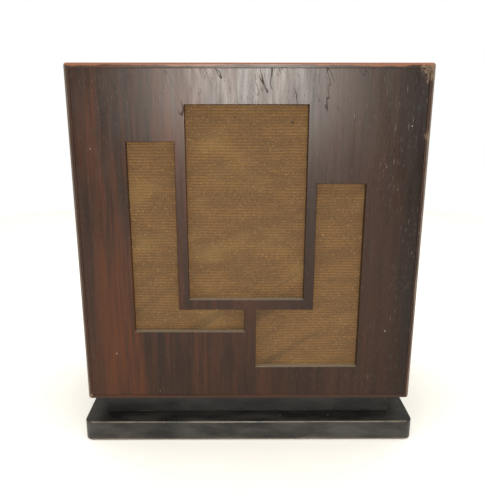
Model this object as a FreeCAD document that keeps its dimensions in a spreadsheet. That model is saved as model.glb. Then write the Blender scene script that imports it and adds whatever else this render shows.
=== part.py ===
"""Table-top crystal set in a square veneered cabinet with a pierced, cloth-backed front.

The cabinet stands on a black plinth. A balanced-armature loudspeaker sits behind the front,
and the receiver's tuner, tap switch, detector and terminals are on an ebonite panel at the rear.
Millimetres. +Z is up, the front faces -Y, and the origin is on the table under the middle of the base.
"""
import FreeCAD, Part
import os

import Sketcher

Vector = FreeCAD.Vector

SIZES = {
    # plinth
    "felt_thick": 1, "felt_inset": 4,
    "base_width": 315, "base_depth": 188, "base_thick": 19, "base_corner": 8, "base_edge": 1.2,
    "neck_inset": 15, "neck_height": 22,
    "plinth_screw_x": 105, "plinth_screw_y": 50, "plinth_screw_long": 41, "counterbore": 5,
    # carcass
    "cab_width": 305, "cab_height": 305, "cab_depth": 178, "board": 10, "lip": 4, "outer_round": 2.5,
    # front: heights are from the cabinet's underside, and sideways from its left-hand face
    "fret_thick": 6, "fret_arris": 0.6, "bar_wide": 10,
    "mid_from_left": 98, "mid_wide": 104, "mid_sill": 100, "mid_tall": 171.5,
    "left_from_left": 47.5, "left_wide": 41, "left_foot": 101, "left_sill": 68.5, "left_tall": 172.5,
    "right_from_right": 51.5, "right_wide": 42.5, "right_foot": 94.75, "right_sill": 33, "right_tall": 172.5,
    "cloth_thick": 0.8, "cloth_space": 1, "baffle_thick": 9, "fit_gap": 0.5,
    # inside battens and rear panels
    "batten": 14, "rear_recess": 27, "panel_thick": 5, "cabinet_screw": 13,
    "control_tall": 104, "panel_gap": 1, "sound_hole": 7.5, "sound_ring": 24,
    "round_head": 3.4, "round_head_rise": 2, "screw_shank": 1.5, "screw_slot": 0.8,
    # loudspeaker: r is a radius, and rise is measured back from the baffle
    "speaker_offset": 2, "speaker_height": 152, "baffle_hole_r": 91,
    "flange_r": 104, "flange_inner_r": 94, "sheet_steel": 1.5, "basket_wall": 9, "basket_back_r": 33,
    "basket_rise": 54, "basket_bore_r": 6, "window_wide": 44, "speaker_screw_r": 99.3, "speaker_screw": 9,
    "surround_r": 85, "roll_r": 3, "roll_centre_r": 89,
    "cone_rim_r": 84, "cone_apex_r": 9, "cone_rise": 44, "cone_start": 1.5, "paper": 0.8,
    "washer_r": 11, "washer_thick": 1.2, "hub_r": 5,
    "rod_r": 1, "rod_start": 40, "rod_long": 45, "rod_nut_r": 2.6, "rod_nut_thick": 2.5, "rod_nut_gap": 0.4,
    # balanced-armature unit: its own x, y and z run from the plate's back face on the unit's axis
    "arm_long": 34, "unit_plate": 2, "unit_plate_wide": 36, "unit_plate_drop": 24, "unit_plate_rise": 52,
    "magnet_bar": 10, "magnet_tall": 14, "magnet_gap": 24, "magnet_leg": 57, "magnet_start": 12,
    "pole_wide": 10, "pole_spine": 5, "pole_half": 19, "pole_tip": 9, "air_gap": 0.6,
    "reed_thick": 1.2, "reed_half": 3.8, "reed_tail": 30, "reed_top": 20, "arm_half": 3, "arm_past": 4,
    "pivot_r": 0.8, "pivot_bore_r": 0.85, "barrel_r": 1.7,
    "bobbin_half": 9, "bobbin_tall": 19, "bobbin_flange": 1.5, "bobbin_clear": 0.2,
    "core_half": 5.5, "core_deep": 7, "slot_half": 4.5, "slot_deep": 4.4,
    "clamp_left": 8, "clamp_wide": 28, "clamp_drop": 33, "clamp_tall": 48, "clamp_thick": 2,
    "clamp_bolt_x": 14, "clamp_bolt_z": 10.5, "clamp_bolt_r": 1.5,
    "adjuster_drop": 27, "adjuster_r": 2, "adjuster_bore_r": 2.06, "adjuster_tip": 1.1,
    "adjuster_knob_r": 8, "adjuster_knob_tall": 10, "adjuster_long": 28,
    # tuning condenser
    "tuner_x": 55, "tuner_height": 60, "end_plate": 2.5, "end_half": 36, "end_drop": 33, "end_rise": 40,
    "tuner_deep": 43, "plate_pitch": 4, "plate_thick": 0.8, "first_plate": 8,
    "rotor_r": 27, "rotor_hub_r": 5, "stator_r": 31, "stator_notch_r": 8,
    "post_ring": 34, "post_r": 2.5, "post_angle": 30, "lug_r": 4.5,
    "shaft_r": 3, "shaft_bore_r": 3.05, "shaft_tail": 2, "shaft_nose": 20,
    "bush_r": 5, "bush_nose": 5, "bush_head_across": 14, "bush_head_thick": 2.5,
    "dial_r": 38, "dial_inner_r": 27, "dial_edge": 0.8, "dial_thick": 3, "dial_gap": 5.6,
    "knob_r": 18, "knob_top_r": 16, "knob_tall": 14, "knob_flute_r": 1.6,
    "pointer_long": 9, "pointer_wide": 5, "pointer_thick": 1, "pointer_gap": 1,
    # tapping switch
    "switch_x": 52, "switch_height": 42, "stud_ring": 24, "stud_r": 3, "stud_rise": 2.4, "stud_step": 20,
    "arm_gap": 0.4, "arm_thick": 1, "arm_wide": 7, "switch_knob_r": 11, "switch_knob_tall": 12,
    "switch_shaft_r": 2, "switch_shaft_bore_r": 2.05, "switch_shaft_tail": 6, "collar_r": 4,
    "collar_thick": 2.5,
    # crystal detector, which lies along X
    "detector_x": 52, "detector_height": 94, "detector_rise": 14, "pillar_r": 3,
    "cap_r": 9, "cap_long": 9, "cap_reach": 22, "glass_r": 8, "glass_bore_r": 7, "glass_into_cap": 2,
    "ball_r": 4.5, "ball_seat_r": 4.55, "cap_mouth_r": 3.6, "whisker_rod_r": 1.2, "rod_inside": 17,
    "rod_outside": 17,
    "whisker_knob_r": 6, "whisker_knob_long": 9, "cup_r": 5, "cup_long": 7, "crystal_r": 3.6,
    "crystal_proud": 1.5,
    "whisker_r": 1.5, "whisker_wall": 0.4, "whisker_gap": 0.3,
    # terminals
    "terminal_x": 120, "terminal_low": 40, "terminal_high": 84, "terminal_foot_r": 7, "terminal_foot": 3,
    "terminal_stem_r": 2.75, "terminal_stem": 17, "terminal_bore_r": 1.6, "terminal_bore": 10,
    "terminal_tail_r": 2, "terminal_tail": 12, "thumb_r": 6.5, "thumb_tall": 8, "thumb_bore_r": 2.8,
    "thumb_gap": 0.6,
    "hex_across": 8, "hex_thick": 3,
    # tuning coil
    "coil_x": 60, "coil_y": 8, "coil_lift": 39, "former_r": 30, "former_wall": 2, "former_long": 92,
    "winding_long": 66, "winding_thick": 1, "cradle_thick": 8, "cradle_half": 22, "cradle_rise": 18,
}

DOC = FreeCAD.newDocument("crystal_set")
SHEET = DOC.addObject("Spreadsheet::Sheet", "size")
for row, (alias, value) in enumerate(SIZES.items(), 1):
    SHEET.set(f"A{row}", alias)
    SHEET.set(f"B{row}", str(value))
    SHEET.setAlias(f"B{row}", alias)
DOC.recompute()

NODES = []

# Levels and axes that several pieces share, as expressions on the sheet.
CAB_BASE = "(size.felt_thick + size.base_thick + size.neck_height)"
CAB_FRONT = "(-size.cab_depth / 2)"
FLOOR = f"({CAB_BASE} + size.board)"
INSIDE_HALF = "(size.cab_width / 2 - size.board)"
BAFFLE_FRONT = f"({CAB_FRONT} + size.fret_thick + size.cloth_space)"
BAFFLE_BACK = f"({BAFFLE_FRONT} + size.baffle_thick)"
PANEL_FACE = "(size.cab_depth / 2 - size.rear_recess)"
PANEL_BACK = f"({PANEL_FACE} - size.panel_thick)"
PANEL_SPLIT = f"({FLOOR} + size.fit_gap + size.control_tall)"
SPEAKER_X = "(-size.speaker_offset)"
SPEAKER_Z = f"({CAB_BASE} + size.speaker_height)"
UNIT_Y = f"({BAFFLE_BACK} + size.basket_rise + size.sheet_steel + size.unit_plate)"
UNIT_Z = f"({SPEAKER_Z} - size.arm_long)"
REED_Y = "(size.magnet_bar + size.magnet_gap / 2)"
UNIT_DEEP = "(2 * size.magnet_bar + size.magnet_gap)"
TUNER_Z = f"({CAB_BASE} + size.tuner_height)"
SWITCH_Z = f"({CAB_BASE} + size.switch_height)"
DETECTOR_Y = f"({PANEL_FACE} + size.detector_rise)"
DETECTOR_Z = f"({CAB_BASE} + size.detector_height)"

# What turns a piece made along +Z towards another direction.
TOWARD = {
    "+z": ((0, 0, 1), 0), "-z": ((1, 0, 0), 180), "+y": ((1, 0, 0), -90),
    "-y": ((1, 0, 0), 90), "+x": ((0, 1, 0), 90), "-x": ((0, 1, 0), -90),
}


# ---------------------------------------------------------------- helpers

def number(expression):
    """What an expression on the sheet comes to."""
    return float(SHEET.evalExpression(expression))


def node(obj, label):
    """Names a finished sub-part, so that it is written to its own file."""
    obj.Label = label
    NODES.append(obj)
    return obj


def bind(obj, **expressions):
    for name, expression in expressions.items():
        obj.setExpression(name, expression)


def place(obj, where, toward="+z", turn=0):
    """Puts obj at three expressions, with its +Z towards a direction after a turn about that +Z."""
    axis, angle = TOWARD[toward]
    lay = FreeCAD.Rotation(Vector(*axis), angle)
    obj.Placement.Rotation = lay.multiply(FreeCAD.Rotation(Vector(0, 0, 1), turn))
    for letter, expression in zip("xyz", where):
        obj.setExpression(f"Placement.Base.{letter}", expression)
    return obj


def box(size, corner):
    """A block from its lengths along X, Y and Z and its lowest corner."""
    made = DOC.addObject("Part::Box", "block")
    bind(made, Length=size[0], Width=size[1], Height=size[2])
    return place(made, corner)


def rod(radius, length, where, toward="+z"):
    made = DOC.addObject("Part::Cylinder", "rod")
    bind(made, Radius=radius, Height=length)
    return place(made, where, toward)


def cut(base, *tools):
    """base with every tool taken out of it."""
    for tool in tools:
        made = DOC.addObject("Part::Cut", "cut")
        made.Base, made.Tool = base, tool
        base = made
    return base


def fuse(*pieces):
    made = DOC.addObject("Part::MultiFuse", "fuse")
    made.Shapes = list(pieces)
    return made


def common(first, second):
    made = DOC.addObject("Part::Common", "common")
    made.Base, made.Tool = first, second
    return made


def group(*pieces):
    """Separate solids that share one node."""
    made = DOC.addObject("Part::Compound", "group")
    made.Links = list(pieces)
    return made


def new_sketch(body, role):
    sketch = body.newObject("Sketcher::SketchObject", "outline")
    plane = next(f for f in body.Origin.OriginFeatures if f.Role == role)
    sketch.AttachmentSupport = [(plane, "")]
    sketch.MapMode = "FlatFace"
    return sketch


def pin_point(sketch, edge, end, x, y):
    """Holds one point of an edge at two expressions."""
    for kind, expression in (("DistanceX", x), ("DistanceY", y)):
        index = sketch.addConstraint(Sketcher.Constraint(kind, edge, end, number(expression)))
        sketch.setExpression(f"Constraints[{index}]", expression)


def circle(sketch, x, y, radius):
    shape = Part.Circle(Vector(number(x), number(y), 0), Vector(0, 0, 1), number(radius))
    edge = sketch.addGeometry(shape, False)
    pin_point(sketch, edge, 3, x, y)
    index = sketch.addConstraint(Sketcher.Constraint("Radius", edge, number(radius)))
    sketch.setExpression(f"Constraints[{index}]", radius)


def arc_between(start, end, radius):
    """The arc of under half a turn from start to end. A positive radius bends left, a negative one right."""
    chord = end - start
    rise = max(radius * radius - chord.Length ** 2 / 4, 0) ** 0.5
    left = Vector(-chord.y, chord.x, 0).normalize() * (rise if radius > 0 else -rise)
    centre = (start + end) / 2 + left
    ring = Part.Circle(centre, Vector(0, 0, 1), abs(radius))
    first, last = (start, end) if radius > 0 else (end, start)
    return Part.ArcOfCircle(ring, ring.parameter(first), ring.parameter(last))


def outline(sketch, points):
    """A closed outline. A point is (x, y), or (x, y, radius) where an arc runs on to the next point."""
    corners = [Vector(number(p[0]), number(p[1]), 0) for p in points]
    first = sketch.GeometryCount
    ends = []
    for i, point in enumerate(points):
        here, there = corners[i], corners[(i + 1) % len(points)]
        radius = number(point[2]) if len(point) > 2 else 0
        piece = arc_between(here, there, radius) if radius else Part.LineSegment(here, there)
        sketch.addGeometry(piece, False)
        ends.append((2, 1) if radius < 0 else (1, 2))
    for i, point in enumerate(points):
        after = (i + 1) % len(points)
        meet = Sketcher.Constraint("Coincident", first + i, ends[i][1], first + after, ends[after][0])
        sketch.addConstraint(meet)
        pin_point(sketch, first + i, ends[i][0], point[0], point[1])
        if len(point) > 2:
            radius = number(point[2])
            index = sketch.addConstraint(Sketcher.Constraint("Radius", first + i, abs(radius)))
            sketch.setExpression(f"Constraints[{index}]", point[2] if radius > 0 else f"-({point[2]})")


def draw(sketch, shapes):
    """Each shape is a list of points for an outline, or a tuple (x, y, radius) for a circle."""
    for shape in shapes:
        if isinstance(shape, list):
            outline(sketch, shape)
        else:
            circle(sketch, *shape)


def padded(role, shapes, length):
    """A body with one pad. A pad off the XZ plane goes towards +Y."""
    body = DOC.addObject("PartDesign::Body", "body")
    sketch = new_sketch(body, role)
    draw(sketch, shapes)
    pad = body.newObject("PartDesign::Pad", "pad")
    pad.Profile = sketch
    pad.Reversed = role == "XZ_Plane"
    bind(pad, Length=length)
    return body


def turned(profile):
    """A body turned about its own +Z. The profile's points are (radius, height)."""
    body = DOC.addObject("PartDesign::Body", "body")
    sketch = new_sketch(body, "XZ_Plane")
    outline(sketch, profile)
    turn = body.newObject("PartDesign::Revolution", "turn")
    turn.Profile = sketch
    turn.ReferenceAxis = (sketch, ["V_Axis"])
    turn.Angle = 360
    return body


def pocket_through(body, role, shapes, count=1):
    """Cuts shapes right through, and repeats the cut about the sketch's own centre."""
    DOC.recompute()
    sketch = new_sketch(body, role)
    draw(sketch, shapes)
    pocket = body.newObject("PartDesign::Pocket", "pocket")
    pocket.Profile = sketch
    pocket.Type = 1
    pocket.Midplane = True
    if count > 1:
        DOC.recompute()
        ring = body.newObject("PartDesign::PolarPattern", "ring")
        ring.Originals = [pocket]
        ring.Axis = (sketch, ["N_Axis"])
        ring.Angle = 360
        ring.Occurrences = count
        body.Tip = ring
    return body


def rounded(body, radius, wanted):
    """Rounds the edges of the body that wanted(edge) picks."""
    DOC.recompute()
    solid = body.Tip
    names = [f"Edge{i}" for i, edge in enumerate(solid.Shape.Edges, 1) if wanted(edge)]
    fillet = body.newObject("PartDesign::Fillet", "rounding")
    fillet.Base = (solid, names)
    bind(fillet, Radius=radius)
    return body


def along(edge, axis):
    """Whether a straight edge runs along an axis, given as 0, 1 or 2."""
    if edge.Curve.TypeId != "Part::GeomLine":
        return False
    return abs(abs(edge.tangentAt(edge.FirstParameter)[axis]) - 1) < 1e-6


def minus(a, b):
    return f"({a} - {b})"


def plus(*terms):
    return "(" + " + ".join(terms) + ")"


# ---------------------------------------------------------------- plinth

def make_base_felt():
    """A felt sheet glued under the base."""
    wide, deep = "(size.base_width - 2 * size.felt_inset)", "(size.base_depth - 2 * size.felt_inset)"
    node(box((wide, deep, "size.felt_thick"), (f"-{wide} / 2", f"-{deep} / 2", "0")), "base_felt")


def make_base_board():
    """The bottom slab, with rounded corners and counterbores for the four plinth screws."""
    half, deep = "size.base_width / 2", "size.base_depth / 2"
    body = padded("XY_Plane", [[(f"-{half}", f"-{deep}"), (half, f"-{deep}"), (half, deep), (f"-{half}", deep)]],
                  "size.base_thick")
    place(body, ("0", "0", "size.felt_thick"))
    rounded(body, "size.base_corner", lambda edge: along(edge, 2))
    top = number("size.base_thick")
    rounded(body, "size.base_edge", lambda edge: all(abs(v.Z - top) < 1e-6 for v in edge.Vertexes))
    sketch = new_sketch(body, "XY_Plane")
    for x, y in screw_corners("size.plinth_screw_x", "size.plinth_screw_y"):
        circle(sketch, x, y, "size.round_head * 1.4")
    bores = body.newObject("PartDesign::Pocket", "counterbores")
    bores.Profile = sketch
    bores.Reversed = True
    bind(bores, Length="size.counterbore")
    node(body, "base_board")


def make_neck_board():
    """The recessed block between the base and the cabinet."""
    wide, deep = "(size.cab_width - 2 * size.neck_inset)", "(size.cab_depth - 2 * size.neck_inset)"
    corner = (f"-{wide} / 2", f"-{deep} / 2", "size.felt_thick + size.base_thick")
    node(box((wide, deep, "size.neck_height"), corner), "neck_board")


def screw_corners(x, y):
    """Four places, mirrored left to right and front to back."""
    return [(f"{sx}{x}", f"{sy}{y}") for sx in ("-", "") for sy in ("-", "")]


def screw(length, where, toward, turn=0):
    """A round-head wood screw that is driven away from the given direction, with its slot turned."""
    head, shank = "size.round_head", "size.screw_shank"
    body = turned([("0", f"-({length})"), (shank, f"-({length}) + {shank} * 2"), (shank, "0"), (head, "0"),
                   (head, "0.5", "size.round_head_rise + size.round_head"),
                   ("0", "size.round_head_rise + 0.5")])
    DOC.recompute()
    sketch = new_sketch(body, "XZ_Plane")
    half = "size.screw_slot / 2"
    outline(sketch, [(f"-{half}", "size.round_head_rise * 0.6"), (half, "size.round_head_rise * 0.6"),
                     (half, "size.round_head"), (f"-{half}", "size.round_head")])
    slot = body.newObject("PartDesign::Pocket", "slot")
    slot.Profile = sketch
    slot.Type = 1
    slot.Midplane = True
    return place(body, where, toward, turn)


def drill(screws, *labels):
    """Takes the screws' own room out of the boards that they pass through."""
    for label in labels:
        index = next(i for i, obj in enumerate(NODES) if obj.Label == label)
        blank = NODES[index]
        blank.Label = f"{label}_blank"
        NODES[index] = cut(blank, screws)
        NODES[index].Label = label


def make_plinth_screws():
    """Four screws up through the base and the neck into the cabinet's bottom board."""
    level = "size.felt_thick + size.counterbore"
    places = screw_corners("size.plinth_screw_x", "size.plinth_screw_y")
    screws = group(*[screw("size.plinth_screw_long", (x, y, level), "-z", 30) for x, y in places])
    drill(screws, "base_board", "neck_board", "bottom_board")
    node(screws, "plinth_screws")


# ---------------------------------------------------------------- carcass

def make_carcass():
    """Four mitred boards, with a rebate at the front for the fret panel and rounded outer edges."""
    block = DOC.addObject("PartDesign::Body", "block")
    sketch = new_sketch(block, "XZ_Plane")
    half, tall = "size.cab_width / 2", "size.cab_height"
    outline(sketch, [(f"-{half}", "0"), (half, "0"), (half, tall), (f"-{half}", tall)])
    pad = block.newObject("PartDesign::Pad", "pad")
    pad.Profile = sketch
    pad.Reversed = True
    bind(pad, Length="size.cab_depth")
    rounded(block, "size.outer_round", lambda edge: along(edge, 1))
    rounded(block, "size.outer_round * 0.6", lambda edge: all(abs(v.Y) < 1e-6 for v in edge.Vertexes))
    place(block, ("0", CAB_FRONT, CAB_BASE))
    inner = "(size.cab_width - 2 * size.board)"
    inner_tall = "(size.cab_height - 2 * size.board)"
    hollow = box((inner, "size.cab_depth", inner_tall), (f"-{inner} / 2", CAB_FRONT, FLOOR))
    wide, high = "(size.cab_width - 2 * size.lip)", "(size.cab_height - 2 * size.lip)"
    rebate = box((wide, "size.fret_thick", high), (f"-{wide} / 2", CAB_FRONT, f"{CAB_BASE} + size.lip"))
    shell = cut(block, hollow, rebate)
    middle = f"{CAB_BASE} + size.cab_height / 2"
    names = ("bottom_board", "right_side", "top_board", "left_side")
    for quarter, name in enumerate(names):
        wedge = DOC.addObject("Part::Wedge", "mitre")
        bind(wedge, Xmin=f"-{half}", Xmax=half, X2min="0", X2max="0", Ymin=f"-{half}", Ymax="0",
             Zmin="0", Zmax="size.cab_depth", Z2min="0", Z2max="size.cab_depth")
        # The wedge's own Y runs from the board to the cabinet's middle, and its own Z runs to the front.
        place(wedge, ("0", "size.cab_depth / 2", middle), "-y", 90 * quarter)
        node(common(shell, wedge), name)


def make_fret_panel():
    """The veneered front panel: an upright oblong between two L-shaped openings."""
    x0, z0 = "size.lip", "size.lip"
    x1, z1 = "size.cab_width - size.lip", "size.cab_height - size.lip"
    frame = [(x0, z0), (x1, z0), (x1, z1), (x0, z1)]
    mid_x, mid_z = "size.mid_from_left", "size.mid_sill"
    mid = [(mid_x, mid_z), (f"{mid_x} + size.mid_wide", mid_z),
           (f"{mid_x} + size.mid_wide", f"{mid_z} + size.mid_tall"), (mid_x, f"{mid_z} + size.mid_tall")]
    step = "size.mid_sill - size.bar_wide"
    lx, lz = "size.left_from_left", "size.left_sill"
    left = [(lx, lz), (f"{lx} + size.left_foot", lz), (f"{lx} + size.left_foot", step),
            (f"{lx} + size.left_wide", step), (f"{lx} + size.left_wide", f"{lz} + size.left_tall"),
            (lx, f"{lz} + size.left_tall")]
    rx, rz = "size.cab_width - size.right_from_right", "size.right_sill"
    right = [(rx, rz), (rx, f"{rz} + size.right_tall"), (f"{rx} - size.right_wide", f"{rz} + size.right_tall"),
             (f"{rx} - size.right_wide", step), (f"{rx} - size.right_foot", step),
             (f"{rx} - size.right_foot", rz)]
    body = padded("XZ_Plane", [frame, mid, left, right], "size.fret_thick")
    edge_of_frame = {number(x0), number(x1)}

    def front_arris(edge):
        """An opening's edge on the front face, but not one of the panel's own outer edges."""
        on_front = all(abs(v.Y) < 1e-6 for v in edge.Vertexes)
        outer = all(v.X in edge_of_frame or v.Z in edge_of_frame for v in edge.Vertexes)
        return on_front and not outer

    rounded(body, "size.fret_arris", front_arris)
    place(body, ("-size.cab_width / 2", CAB_FRONT, CAB_BASE))
    node(body, "fret_panel")


def make_grille_cloth():
    """The cloth stretched between the fret panel and the baffle: here a plain sheet."""
    side = f"2 * ({INSIDE_HALF} - size.fit_gap)"
    tall = "size.cab_height - 2 * size.board - 2 * size.fit_gap"
    y = f"{CAB_FRONT} + size.fret_thick + (size.cloth_space - size.cloth_thick) / 2"
    corner = (f"-({INSIDE_HALF} - size.fit_gap)", y, f"{FLOOR} + size.fit_gap")
    node(box((side, "size.cloth_thick", tall), corner), "grille_cloth")


def make_baffle_board():
    """The board behind the cloth, with a round hole for the loudspeaker's cone."""
    half = f"({INSIDE_HALF} - size.fit_gap)"
    low, high = "size.fit_gap", "(size.cab_height - 2 * size.board - size.fit_gap)"
    frame = [(f"-{half}", low), (half, low), (half, high), (f"-{half}", high)]
    hole = (SPEAKER_X, "size.speaker_height - size.board", "size.baffle_hole_r")
    body = padded("XZ_Plane", [frame, hole], "size.baffle_thick")
    place(body, ("0", BAFFLE_FRONT, FLOOR))
    node(body, "baffle_board")


def make_battens():
    """Four corner blocks that run from the baffle to the rear panels, and a rail where the panels meet."""
    length = f"{PANEL_BACK} - {BAFFLE_BACK}"
    top = f"{FLOOR} + size.cab_height - 2 * size.board - size.batten"
    blocks = [box(("size.batten", length, "size.batten"), (x, BAFFLE_BACK, z))
              for x in (f"-{INSIDE_HALF}", f"{INSIDE_HALF} - size.batten") for z in (FLOOR, top)]
    rail = box((f"2 * {INSIDE_HALF}", "size.batten", "size.batten"),
               (f"-{INSIDE_HALF}", f"{PANEL_BACK} - size.batten", f"{PANEL_SPLIT} + (size.panel_gap - size.batten) / 2"))
    node(group(*blocks, rail), "battens")


def make_back_panel():
    """The upper rear panel: thin plywood with rings of sound holes about its middle."""
    half = f"({INSIDE_HALF} - size.fit_gap)"
    low = f"({PANEL_SPLIT} + size.panel_gap)"
    high = f"({CAB_BASE} + size.cab_height - size.board - size.fit_gap)"
    rise = f"(({high} - {low}) / 2)"
    frame = [(f"-{half}", f"-{rise}"), (half, f"-{rise}"), (half, rise), (f"-{half}", rise)]
    body = padded("XZ_Plane", [frame, ("0", "0", "size.sound_hole")], "size.panel_thick")
    for ring in (1, 2, 3):
        pocket_through(body, "XZ_Plane", [("0", f"{ring} * size.sound_ring", "size.sound_hole")], 6 * ring)
    place(body, ("0", PANEL_BACK, f"({high} + {low}) / 2"))
    node(body, "back_panel")


def make_control_panel():
    """The lower rear panel of ebonite, drilled for the tuner, the switch and the terminals."""
    half = f"({INSIDE_HALF} - size.fit_gap)"
    low, high = "(size.board + size.fit_gap)", "(size.board + size.fit_gap + size.control_tall)"
    holes = [("size.tuner_x", "size.tuner_height", "size.bush_r"),
             ("-size.switch_x", "size.switch_height", "size.switch_shaft_bore_r")]
    holes += [(x, z, "size.terminal_tail_r") for x, z in terminal_places()]
    frame = [(f"-{half}", low), (half, low), (half, high), (f"-{half}", high)]
    body = padded("XZ_Plane", [frame] + holes, "size.panel_thick")
    rim = number(PANEL_FACE) - number(PANEL_BACK)
    limits = {round(number(half), 4), round(-number(half), 4), round(number(low), 4), round(number(high), 4)}

    def rear_arris(edge):
        """The panel's outline on its rear face."""
        ends = edge.Vertexes
        same = any(all(round(value, 4) in limits for value in pair)
                   for pair in ([v.X for v in ends], [v.Z for v in ends]))
        return len(ends) == 2 and same and all(abs(v.Y - rim) < 1e-6 for v in ends)

    rounded(body, "size.fret_arris", rear_arris)
    place(body, ("0", PANEL_BACK, CAB_BASE))
    node(body, "control_panel")


def make_cabinet_screws():
    """Equal round-head screws: through the baffle into the fret panel, and through both rear panels."""
    half_batten = "size.batten / 2"
    bottom, top = f"({FLOOR} + {half_batten})", f"({FLOOR} + size.cab_height - 2 * size.board - {half_batten})"
    side = f"({INSIDE_HALF} - size.batten * 1.5)"
    rows = (f"({bottom} + size.batten)", f"({top} - size.batten)", f"({bottom} + {top}) / 2")
    front = [(f"{sign}{side}", z) for sign in ("-", "") for z in rows]
    edge = f"({INSIDE_HALF} - {half_batten})"
    under, over = f"({PANEL_SPLIT} - size.batten / 4)", f"({PANEL_SPLIT} + size.panel_gap + size.batten / 4)"
    rear = [(x, z) for z in (bottom, under, over, top) for x in (f"-{edge}", edge)]
    rear += [("0", under), ("0", over)]
    screws = [screw("size.cabinet_screw", (x, BAFFLE_BACK, z), "+y", 20 * i) for i, (x, z) in enumerate(front)]
    screws += [screw("size.cabinet_screw", (x, PANEL_FACE, z), "+y", 50 * i) for i, (x, z) in enumerate(rear)]
    screws = group(*screws)
    drill(screws, "baffle_board", "grille_cloth", "fret_panel", "back_panel", "control_panel", "battens")
    node(screws, "cabinet_screws")


# ---------------------------------------------------------------- loudspeaker

def on_speaker(body):
    """Lays a turned piece on the loudspeaker's axis, from the baffle's back towards the rear."""
    return place(body, (SPEAKER_X, BAFFLE_BACK, SPEAKER_Z), "+y")


def make_basket():
    """The pressed-steel basket: a flange, a straight rim, a sloping wall with four windows, and a flat back."""
    front, steel, rim = "size.cloth_thick", "size.sheet_steel", "size.basket_wall"
    body = turned([("size.flange_inner_r", front), ("size.flange_r", front),
                   ("size.flange_r", plus(front, steel)),
                   (plus("size.flange_inner_r", steel), plus(front, steel)),
                   (plus("size.flange_inner_r", steel), plus(rim, "size.sheet_steel / 2")),
                   (plus("size.basket_back_r", steel), plus("size.basket_rise", steel)),
                   ("size.basket_bore_r", plus("size.basket_rise", steel)),
                   ("size.basket_bore_r", "size.basket_rise"),
                   ("size.basket_back_r", "size.basket_rise"), ("size.flange_inner_r", rim)])
    half = "size.window_wide / 2"
    low, high = "size.basket_back_r + 8", "size.flange_inner_r - 8"
    window = [(low, f"-{half} * 0.5"), (high, f"-{half}"), (high, half), (low, f"{half} * 0.5")]
    pocket_through(body, "XY_Plane", [window], 4)
    node(on_speaker(body), "speaker_basket")


def make_speaker_screws():
    """Four screws through the basket's flange and the surround's rim into the baffle."""
    reach = "size.speaker_screw_r * sqrt(0.5)"
    flange = f"{BAFFLE_BACK} + size.cloth_thick + size.sheet_steel"
    places = [(f"{SPEAKER_X} {sx} {reach}", f"{SPEAKER_Z} {sz} {reach}") for sx in "-+" for sz in "-+"]
    made = [screw("size.speaker_screw", (x, flange, z), "+y", 35 * i) for i, (x, z) in enumerate(places)]
    screws = group(*made)
    drill(screws, "speaker_basket", "cone_surround", "baffle_board")
    node(screws, "speaker_screws")


def make_cone():
    """The paper cone, its soft surround, the apex washers, and the drive rod with its two nuts."""
    near, far = "size.cone_start", "size.cone_start + size.cone_rise"
    cone = turned([("size.cone_rim_r", near), ("size.cone_rim_r", plus(near, "size.paper")),
                   ("size.cone_apex_r", plus(far, "size.paper")), ("size.cone_apex_r", far)])
    node(on_speaker(cone), "speaker_cone")
    skin, roll, middle = "size.cloth_thick", "size.roll_r", "size.roll_centre_r"
    surround = turned([("size.surround_r", "0"), (minus(middle, roll), "0", f"-({roll})"),
                       (middle, roll, f"-({roll})"),
                       (plus(middle, roll), "0"), ("size.flange_r - 1", "0"), ("size.flange_r - 1", skin),
                       (plus(middle, roll), skin, roll), (middle, plus(roll, skin), roll),
                       (minus(middle, roll), skin), ("size.surround_r", skin)])
    node(on_speaker(surround), "cone_surround")
    slope = "size.cone_rise / (size.cone_rim_r - size.cone_apex_r)"
    face = f"({far} - (size.washer_r - size.cone_apex_r) * {slope})"
    front = turned([("size.rod_r", minus(face, "size.washer_thick")),
                    ("size.washer_r", minus(face, "size.washer_thick")),
                    ("size.washer_r", face), ("size.hub_r", face), ("size.hub_r", plus(far, "size.paper")),
                    ("size.rod_r", plus(far, "size.paper"))])
    rear_face = plus(far, "size.paper")
    rear = turned([("size.rod_r", rear_face), ("size.washer_r", rear_face),
                   ("size.washer_r * 0.8", plus(rear_face, "size.washer_thick")),
                   ("size.rod_r", plus(rear_face, "size.washer_thick"))])
    node(group(on_speaker(front), on_speaker(rear)), "cone_washers")
    start = (SPEAKER_X, f"{BAFFLE_BACK} + size.rod_start", SPEAKER_Z)
    node(rod("size.rod_r", "size.rod_long", start, "+y"), "drive_rod")
    gap = "(size.reed_thick / 2 + size.rod_nut_gap)"
    nuts = []
    for level in (f"{UNIT_Y} + {REED_Y} - {gap} - size.rod_nut_thick", f"{UNIT_Y} + {REED_Y} + {gap}"):
        nut = turned([("size.rod_r", "0"), ("size.rod_nut_r", "0"), ("size.rod_nut_r", "size.rod_nut_thick"),
                      ("size.rod_r", "size.rod_nut_thick")])
        nuts.append(place(nut, (SPEAKER_X, level, SPEAKER_Z), "+y"))
    node(group(*nuts), "rod_nuts")


def oblong(x0, z0, x1, z1):
    return [(x0, z0), (x1, z0), (x1, z1), (x0, z1)]


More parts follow.
